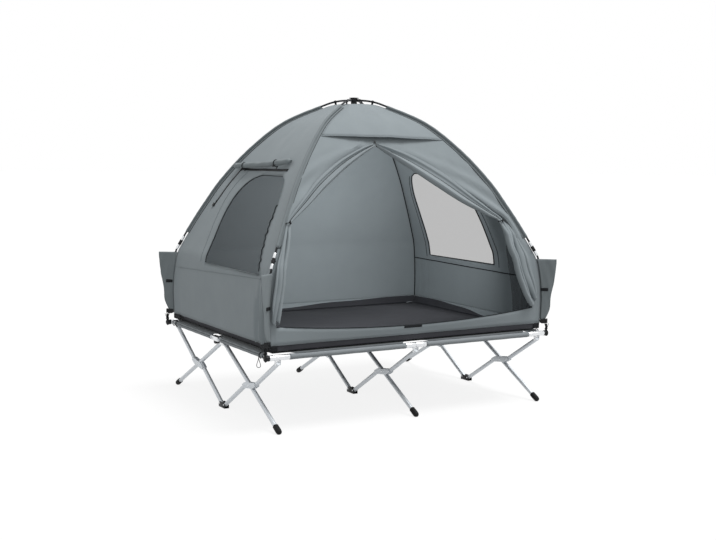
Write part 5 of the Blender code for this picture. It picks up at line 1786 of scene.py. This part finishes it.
@dataclass
class Rails:
    """The three long rails with their collars, leg ears, rivets and end caps."""

    tube_end: float = 0.950
    end_collar: float = 0.12
    middle_collar: float = 0.138
    collar_end_gap: float = 0.003
    joint_gap: float = 0.0008
    pivot_drop: float = 0.0340031
    ear_thickness: float = 0.0022
    ear_margin: float = 0.0095
    ear_root: float = 0.0138
    cap: tuple = ((0.0, 0.0), (0.0165, 0.0), (0.0165, 0.003), (0.0157, 0.004), (0.0157, 0.006), (0.0165, 0.007),
                  (0.0165, 0.0225), (0.0145, 0.027), (0.0105, 0.0292), (0.0, 0.0297))

    def build(self) -> None:
        """Fits out each rail."""
        self.rail("centre_rail", "root", 0, BAR_PLACE - 0.0153)
        for half in Half:
            name = f"{half.label}_rail"
            self.rail(name, name, half.value, self.tube_end)
            for hand in Hand:
                out = ALONG * hand.value
                place = facing(half.out * COT_WIDTH / 2 + UP * RAIL_HEIGHT + out * (self.tube_end + PLAY), out)
                label = f"{half.label}_{hand.label}"
                make_piece(f"{label}_end_cap", [lathe(self.cap, place, 36)], NYLON, name, (f"{label}_cap",))

    def rail(self, name: str, body: str, sign: int, end: float) -> None:
        """One rail with what is pressed and riveted on it.

        Args:
            name: The rail's node.
            body: Its body.
            sign: -1 for the front rail, 1 for the rear rail, and 0 for the centre rail.
            end: Half its length.
        """
        axis = Vector((0.0, sign * COT_WIDTH / 2, RAIL_HEIGHT))
        spread = 0.0 if sign else LEG_SPREAD
        face = LEG_RADIUS + PLAY + self.ear_thickness
        outward = Vector((0.0, float(sign or -1), 0.0))
        bar = tube(axis - ALONG * end, axis + ALONG * end, RAIL_RADIUS, 32)
        make_piece(f"{name}_tube", [bar], TUBE, body, (name,))
        outer, middle = end - self.collar_end_gap, self.middle_collar / 2
        spans = ((-outer, self.end_collar - outer), (-middle, -self.joint_gap), (self.joint_gap, middle),
                 (outer - self.end_collar, outer))
        collars = [tube(axis + ALONG * first, axis + ALONG * last, COLLAR_RADIUS, 36, 0.0012)
                   for first, last in spans]
        ears, rivets = [], []
        for plane in (-LEG_PLANE, 0.0, LEG_PLANE):
            for side in (-1, 1):
                ears.append(self.ear(axis + ALONG * (plane + side * (face - self.ear_thickness / 2)), spread))
                for pivot in sorted({-spread, spread}):
                    spot = axis + Vector((plane + side * face, pivot, -self.pivot_drop))
                    rivets.append(rivet(spot, ALONG * side, 0.0058))
            for shift in (-0.05, 0.05):
                spot = axis + ALONG * (plane + shift) + outward * (COLLAR_RADIUS - 0.0004)
                rivets.append(rivet(spot, outward, 0.003))
        if sign:
            for place in (-BAR_PLACE, BAR_PLACE):
                for side in (-0.0043, 0.0043):
                    spot = axis + ALONG * (place + side) - outward * (COLLAR_RADIUS + 0.0085)
                    ears.append(block((0.023, 0.016, 0.002), facing(spot, ALONG), 0.0006))
        for label, shells, finish in (("collars", collars, BRIGHT), ("ears", ears, BRIGHT),
                                      ("rivets", rivets, RIVET)):
            make_piece(f"{name}_{label}", shells, finish, body)

    def ear(self, place: Vector, spread: float) -> Mesh:
        """One pressed ear that hangs from a collar.

        Args:
            place: The rail's axis in the ear's plane.
            spread: How far its pivots stand to each side.

        Returns:
            The ear.
        """
        half, low, cut = spread + self.ear_margin, -self.pivot_drop - self.ear_margin, self.ear_margin * 0.6
        left = ((-self.ear_root, 0.0), (-half, -self.pivot_drop), (-half, low + cut), (cut - half, low))
        outline = (*left, *((-across, up) for across, up in left[::-1]))
        return slab(outline, self.ear_thickness, facing(place, ALONG), 0.0005)


@dataclass(frozen=True)
class Leg:
    """A leg's place: its half of the cot, its set's name and its plane along the cot."""

    half: Half
    label: str
    plane: float

    def line(self, straight: bool) -> tuple[Vector, Vector]:
        """A leg's two pivots.

        Args:
            straight: Whether it is the straight leg, and not the jogged one.

        Returns:
            The top and the foot.
        """
        spots = [Vector((self.plane, self.half.value * out, 0.0)) for out in (LEG_SPREAD, COT_WIDTH / 2)]
        high, low = spots if straight else spots[::-1]
        return high + UP * Legs.top, low + UP * Legs.foot


@dataclass
class Legs:
    """The three leg sets: straight legs, jogged legs with side plates, shoes and middle feet."""

    top: float = 0.3929969
    foot: float = 0.022
    over: float = 0.009
    jog: float = 0.0225
    plate: float = 0.0018
    plate_reach: float = 0.085
    plate_margin: float = 0.0015
    clearance: float = 0.0015
    standing: float = 0.0002
    channel_wall: float = 0.0027
    channel_height: float = 0.034
    channel_base: float = 0.003
    channel_length: float = 0.088
    channel_slope: float = 0.014
    shoe_profile: tuple = (
        (0.0, -0.034), (0.0152, -0.034), (0.0168, -0.032), (0.0168, -0.027), (0.0158, -0.026), (0.0158, -0.023),
        (0.0169, -0.022), (0.0174, -0.008), (0.0172, 0.012), (0.0160, 0.021), (0.0122, 0.0275), (0.0065, 0.0298),
        (0.0, 0.0300))

    def build(self) -> None:
        """Builds every leg, shoe and middle foot."""
        for label, plane in (("left", -LEG_PLANE), ("middle", 0.0), ("right", LEG_PLANE)):
            for half in Half:
                leg = Leg(half, label, plane)
                self.straight(leg)
                self.jogged(leg)
                self.shoe(leg)
            self.middle(label, plane)

    def straight(self, leg: Leg) -> None:
        """A straight leg.

        Args:
            leg: Which leg.
        """
        top, foot = leg.line(True)
        start = top - (foot - top).normalized() * self.over
        name = leg.half.label
        make_piece(f"{name}_straight_tube_{leg.label}", [tube(start, foot, LEG_RADIUS, 28)], TUBE,
                   f"{name}_straight_legs", (f"{name}_straight_leg_{leg.label}",))

    def jogged(self, leg: Leg) -> None:
        """A jogged leg: two tubes stepped to either side of the crossing, joined by side plates.

        Args:
            leg: Which leg.
        """
        top, foot = leg.line(False)
        name, body = leg.half.label, f"{leg.half.label}_jogged_legs"
        span, rise = COT_WIDTH / 2 - LEG_SPREAD, self.top - self.foot
        along, crossing = (foot - top).normalized(), (top + foot) / 2
        down = Vector((0.0, leg.half.value * rise, -span)) / math.hypot(span, rise)
        angle = 2 * math.atan2(rise, span)
        setback = (LEG_RADIUS + self.clearance + (self.jog + LEG_RADIUS) * math.cos(angle)) / math.sin(angle)
        tubes = [tube(top - along * self.over, crossing + down * self.jog - along * setback, LEG_RADIUS, 28),
                 tube(crossing - down * self.jog + along * setback, foot + along * self.over, LEG_RADIUS, 28)]
        make_piece(f"{name}_jogged_tubes_{leg.label}", tubes, TUBE, body, (f"{name}_jogged_leg_{leg.label}",))
        margin = LEG_RADIUS - self.plate_margin
        high, low, reach = self.jog + margin, self.jog - margin, self.plate_reach
        outline = ((-reach, low), (-reach, high), (-setback, high),
                   (reach, -low), (reach, -high), (setback, -high))
        plates, heads = [], []
        for side in (-1, 1):
            lean = ALONG * side
            seat = crossing + lean * (LEG_RADIUS + PLAY)
            place = facing(seat + lean * self.plate / 2, along.cross(down), down)
            plates.append(slab(outline, self.plate, place, 0.0005))
            seat += lean * self.plate
            heads.append(rivet(seat, lean, 0.0062))
            for share in (0.62, 0.86):
                for end in (-1, 1):
                    offset = along * end * (setback + (reach - setback) * share) - down * end * self.jog
                    heads.append(rivet(seat + offset, lean, 0.0034))
        make_piece(f"{name}_crossing_plates_{leg.label}", plates, TUBE, body)
        make_piece(f"{name}_crossing_rivets_{leg.label}", heads, RIVET, body)

    def shoe(self, leg: Leg) -> None:
        """A straight leg's rubber shoe, flat where it stands.

        Args:
            leg: Which leg.
        """
        top, foot = leg.line(True)
        bm = lathe(self.shoe_profile, facing(foot, foot - top), 32)
        cut = bmesh.ops.bisect_plane(bm, geom=bm.verts[:] + bm.edges[:] + bm.faces[:],
                                     plane_co=(0.0, 0.0, self.standing), plane_no=(0.0, 0.0, -1.0),
                                     clear_outer=True)["geom_cut"]
        bmesh.ops.holes_fill(bm, edges=[item for item in cut if isinstance(item, bmesh.types.BMEdge)], sides=0)
        bmesh.ops.recalc_face_normals(bm, faces=bm.faces)
        name = leg.half.label
        make_piece(f"{name}_shoe_{leg.label}", [bm], RUBBER, f"{name}_straight_legs", (f"{name}_foot_{leg.label}",))

    def middle(self, label: str, plane: float) -> None:
        """A middle foot: a moulded channel that both jogged legs stand in.

        Args:
            label: The leg set's name.
            plane: Its place along the cot.
        """
        wall, height = self.channel_wall, self.channel_height
        half, slope = self.channel_length / 2, self.channel_slope
        outer = LEG_RADIUS + PLAY + wall
        right = ((half, 0.0), (half, height * 0.55), (half - slope, height))
        cheek = ((-half, 0.0), *right, *((-across, up) for across, up in right[:0:-1]))
        ground = Vector((plane, 0.0, self.standing))
        shells, heads = [], []
        for side in (-1, 1):
            shells.append(slab(cheek, wall, facing(ground + ALONG * side * (outer - wall / 2), ALONG), 0.0008))
            for half_foot in Half:
                spot = Vector((plane + side * outer, half_foot.value * LEG_SPREAD, self.foot))
                heads.append(rivet(spot, ALONG * side, 0.0052))
        base = Matrix.Translation(ground + UP * self.channel_base / 2)
        shells.append(block((2 * outer - 0.001, 2 * half - 0.002, self.channel_base), base, 0.0008))
        make_piece(f"middle_channel_{label}", shells, NYLON, "middle_feet", (f"middle_foot_{label}",))
        make_piece(f"middle_rivets_{label}", heads, RIVET, "middle_feet")


@dataclass
class EndBars:
    """The two end bars: half bars that hinge in a middle housing with its lock."""

    radius: float = 0.0125
    pivot: float = 0.030
    start: float = 0.058
    tip: float = 0.7302
    tongue: float = 0.030
    width: float = 0.030
    length: float = 0.090
    top: float = 0.0145
    low: float = -0.0135
    roof: float = 0.0105
    slot: float = 0.0036
    cut: float = 0.003
    lock: tuple = ((-0.018, 0.0), (0.018, 0.0), (0.018, -0.010), (0.012, -0.018), (-0.010, -0.018),
                   (-0.018, -0.012))

    def build(self) -> None:
        """Builds both bars."""
        for hand in Hand:
            place = Vector((hand.value * BAR_PLACE, 0.0, RAIL_HEIGHT))
            for half in Half:
                self.half(half, hand.label, place)
            self.housing(hand.label, place)

    def half(self, half: Half, label: str, place: Vector) -> None:
        """One half bar with its flat tongues.

        Args:
            half: The front or the rear half.
            label: Left or right.
            place: The bar's middle.
        """
        out, end, name = half.out, self.tip - self.tongue, half.label
        bar = tube(place + out * self.start, place + out * end, self.radius, 28)
        make_piece(f"{name}_bar_tube_{label}", [bar], TUBE, f"{name}_bars", (f"{name}_end_bar_{label}",))
        tongues = [block((high - low, 0.012, 0.006), facing(place + out * (low + high) / 2, ALONG), 0.0012)
                   for low, high in ((self.pivot - 0.006, self.start + 0.004), (end - 0.004, self.tip))]
        make_piece(f"{name}_bar_tongues_{label}", tongues, BRIGHT, f"{name}_bars")

    def housing(self, label: str, place: Vector) -> None:
        """The middle housing, its pins and the lock under it.

        Args:
            label: Left or right.
            place: The bar's middle.
        """
        half, low = self.length / 2, self.low
        cheek = ((-half, low + self.cut), (-half + self.cut, low), (half - self.cut, low), (half, low + self.cut),
                 (half, self.top), (-half, self.top))
        shells, pins = [], []
        for side in (-1, 1):
            middle = place + ALONG * side * (self.slot + self.width / 2) / 2
            shells.append(slab(cheek, self.width / 2 - self.slot, facing(middle, ALONG), 0.0014))
            for end in Half:
                spot = place + ALONG * side * self.width / 2 + end.out * self.pivot
                pins.append(rivet(spot, ALONG * side, 0.0048))
        centre = Matrix.Translation(place + UP * (self.roof + self.top) / 2)
        shells.append(block((self.width, self.length, self.top - self.roof), centre, 0.0014))
        make_piece(f"bar_housing_{label}", shells, BRIGHT, "root", (f"bar_hinge_{label}",))
        make_piece(f"bar_pins_{label}", pins, RIVET, "root")
        under = facing(place + UP * (low + 0.0006), ALONG)
        make_piece(f"bar_lock_{label}", [slab(self.lock, 0.026, under, 0.002)], NYLON, "root")


@dataclass
class ZipPulls:
    """The pulls of the left window's zip and of the door's."""

    slider: tuple = ((-0.0045, -0.007), (0.0045, -0.007), (0.0035, 0.007), (-0.0035, 0.007))
    tab: tuple = ((-0.0022, -0.015), (0.0022, -0.015), (0.0036, 0.006), (0.0034, 0.018), (-0.0034, 0.018),
                  (-0.0036, 0.006))
    longest: float = 0.053

    def build(self) -> None:
        """Shapes each slider and its pull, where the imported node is."""
        for label, side in (("window", Side.LEFT), ("door", Side.FRONT)):
            node = f"{label}_zip_pull"
            low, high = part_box(node)
            middle = (low + high) / 2
            lean = ARCH.lean(side, ARCH.at_height(middle.z))
            down = lean.cross(side.along)
            down *= -math.copysign(1.0, down.z)
            span = (high - low).dot(Vector([abs(value) for value in down])) / down.dot(down)
            head = middle - down * (min(span, self.longest) / 2 - 0.008)
            shells = [slab(self.slider, 0.005, facing(head, lean, down), 0.0012),
                      slab(self.tab, 0.0022, facing(head + down * 0.020 + lean * 0.0006, lean, down), 0.0008)]
            make_piece(f"{node}_moulding", shells, NYLON, f"{node}_body", (node,))


@dataclass
class HangingLoop:
    """The spare loop of thin cord that hangs from the front left hook, with both its ends on the hook."""

    diameter: float = 0.0034
    drop: float = 0.062
    wide: float = 0.0145
    start: Vector = field(default_factory=lambda: Vector((-BAR_PLACE - 0.0200, -0.640, RAIL_HEIGHT - 0.006)))

    def build(self) -> None:
        """Hangs the loop in the shape of a drop."""
        across = Vector((0.77, -0.64, 0.0)) * self.wide
        line = [self.start + across * math.sin(2 * turn) * math.sin(turn) - UP * self.drop * math.sin(turn)
                for turn in np.linspace(0.0, math.pi, 33)]
        cord = cord_of("hanging_loop", line, self.diameter / 2, 3)
        cord.data.materials.append(WEBBING.material())
        bpy.context.scene.collection.objects.link(cord)
        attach(cord, "front_bars")
        length = run_of(line)[-1]
        tuple(line[0])
        LOG.info("hanging_loop: %.3f m of cord on front_bars", length)


@dataclass
class Studio:
    """The plain pale floor, the lamps, the white background and the camera."""

    floor_radius: float = 60.0
    floor_glow: float = 0.86
    world_level: float = 0.55
    key_level: float = 2.1
    key_width: float = 28.0
    key_from: tuple = (0.30, -0.24, 0.92)
    inner_level: float = 8.0
    inner_size: tuple = (0.9, 0.5)
    inner_at: tuple = (0.0, -0.38, 1.0)
    camera_at: tuple = (-3.655, -6.45, 1.59)
    yaw: float = 29.79
    pitch: float = 6.11
    roll: float = 0.37
    lens: float = 58.7

    def build(self) -> None:
        """Sets everything up."""
        bpy.context.scene.view_settings.view_transform = "Standard"
        self.floor()
        self.world()
        self.lamps()
        self.camera()

    def add(self, name: str, data: bpy.types.ID) -> bpy.types.Object:
        """Adds an object to the scene.

        Args:
            name: Its name.
            data: Its mesh, lamp or camera.

        Returns:
            The object.
        """
        item = bpy.data.objects.new(name, data)
        bpy.context.scene.collection.objects.link(item)
        return item

    def seen(self, tree: bpy.types.NodeTree, *rays: str) -> Socket:
        """Tells some kinds of ray from the others.

        Args:
            tree: The material's or world's tree.
            rays: Names of the kinds.

        Returns:
            A socket that is 1 for these kinds and 0 for others.
        """
        path = put(tree, "LightPath", {}, {})
        found = path.outputs[rays[0]]
        for ray in rays[1:]:
            found = put(tree, "Math", {"operation": "MAXIMUM"}, {0: found, 1: path.outputs[ray]}).outputs[0]
        return found

    def floor(self) -> None:
        """A wide floor that the camera sees nearly white, with the object's shadow kept."""
        bm = bmesh.new()
        bmesh.ops.create_circle(bm, cap_ends=True, segments=64, radius=self.floor_radius)
        mesh = bpy.data.meshes.new("floor")
        bm.to_mesh(mesh)
        bm.free()
        material = bpy.data.materials.new("pale floor")
        material.use_nodes = True
        tree = material.node_tree
        tree.nodes.clear()
        paint, dim = (put(tree, "BsdfDiffuse", {}, {"Color": (level, level, level, 1.0)}).outputs[0]
                      for level in (0.40, 0.15))
        glow = put(tree, "Emission", {}, {"Color": (1.0, 1.0, 1.0, 1.0), "Strength": self.floor_glow}).outputs[0]
        both = put(tree, "AddShader", {}, {0: dim, 1: glow}).outputs[0]
        rays = self.seen(tree, "Is Camera Ray", "Is Glossy Ray")
        mix = put(tree, "MixShader", {}, {0: rays, 1: paint, 2: both})
        put(tree, "OutputMaterial", {}, {"Surface": mix.outputs[0]})
        mesh.materials.append(material)
        self.add("floor", mesh)

    def world(self) -> None:
        """A plain light all round, which the camera, gloss and see-through rays see as white."""
        world = bpy.data.worlds.new("studio")
        world.use_nodes = True
        tree = world.node_tree
        tree.nodes.clear()
        rays = self.seen(tree, "Is Camera Ray", "Is Glossy Ray", "Is Transmission Ray")
        soft, white = (put(tree, "Background", {}, {"Color": (1.0, 1.0, 1.0, 1.0), "Strength": level}).outputs[0]
                       for level in (self.world_level, 1.0))
        mix = put(tree, "MixShader", {}, {0: rays, 1: soft, 2: white})
        put(tree, "OutputWorld", {}, {"Surface": mix.outputs[0]})
        bpy.context.scene.world = world

    def lamps(self) -> None:
        """A soft key from the front right, and a gentle light inside the tent."""
        key = bpy.data.lights.new("key", "SUN")
        key.energy = self.key_level
        key.angle = math.radians(self.key_width)
        lamp = self.add("key", key)
        lamp.rotation_mode = "QUATERNION"
        lamp.rotation_quaternion = Vector(self.key_from).to_track_quat("Z", "Y")
        inner = bpy.data.lights.new("inner", "AREA")
        inner.energy = self.inner_level
        inner.shape = "RECTANGLE"
        inner.size, inner.size_y = self.inner_size
        glow = self.add("inner", inner)
        glow.location = self.inner_at
        glow.rotation_euler = (math.radians(90.0), 0.0, 0.0)
        glow.visible_camera = False

    def camera(self) -> None:
        """The camera at the photograph's viewing angle."""
        data = bpy.data.cameras.new("camera")
        data.lens = self.lens
        data.sensor_width = 36.0
        yaw, pitch, roll = (math.radians(value) for value in (self.yaw, self.pitch, self.roll))
        ahead = Vector((math.sin(yaw) * math.cos(pitch), math.cos(yaw) * math.cos(pitch), -math.sin(pitch)))
        right = ahead.cross(UP).normalized()
        over = right.cross(ahead)
        right, over = (right * math.cos(roll) + over * math.sin(roll),
                       over * math.cos(roll) - right * math.sin(roll))
        camera = self.add("camera", data)
        camera.matrix_world = (Matrix.Translation(self.camera_at)
                               @ Matrix((right, over, -ahead)).transposed().to_4x4())
        bpy.context.scene.camera = camera


def main() -> None:
    """Dresses the frame and sets the studio."""
    logging.basicConfig(level=logging.INFO, format="%(message)s")
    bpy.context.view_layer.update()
    for part in (Studio(), HangingLoop(), CLOTH, Visor(), DoorFlaps(), Windows(), InnerScreen(), Poles(), Hub(),
                 CornerCovers(), FloorTray(), Bed(), Rails(), Legs(), EndBars(), ZipPulls()):
        part.build()
    bpy.context.view_layer.update()


if __name__ == "__main__":
    main()
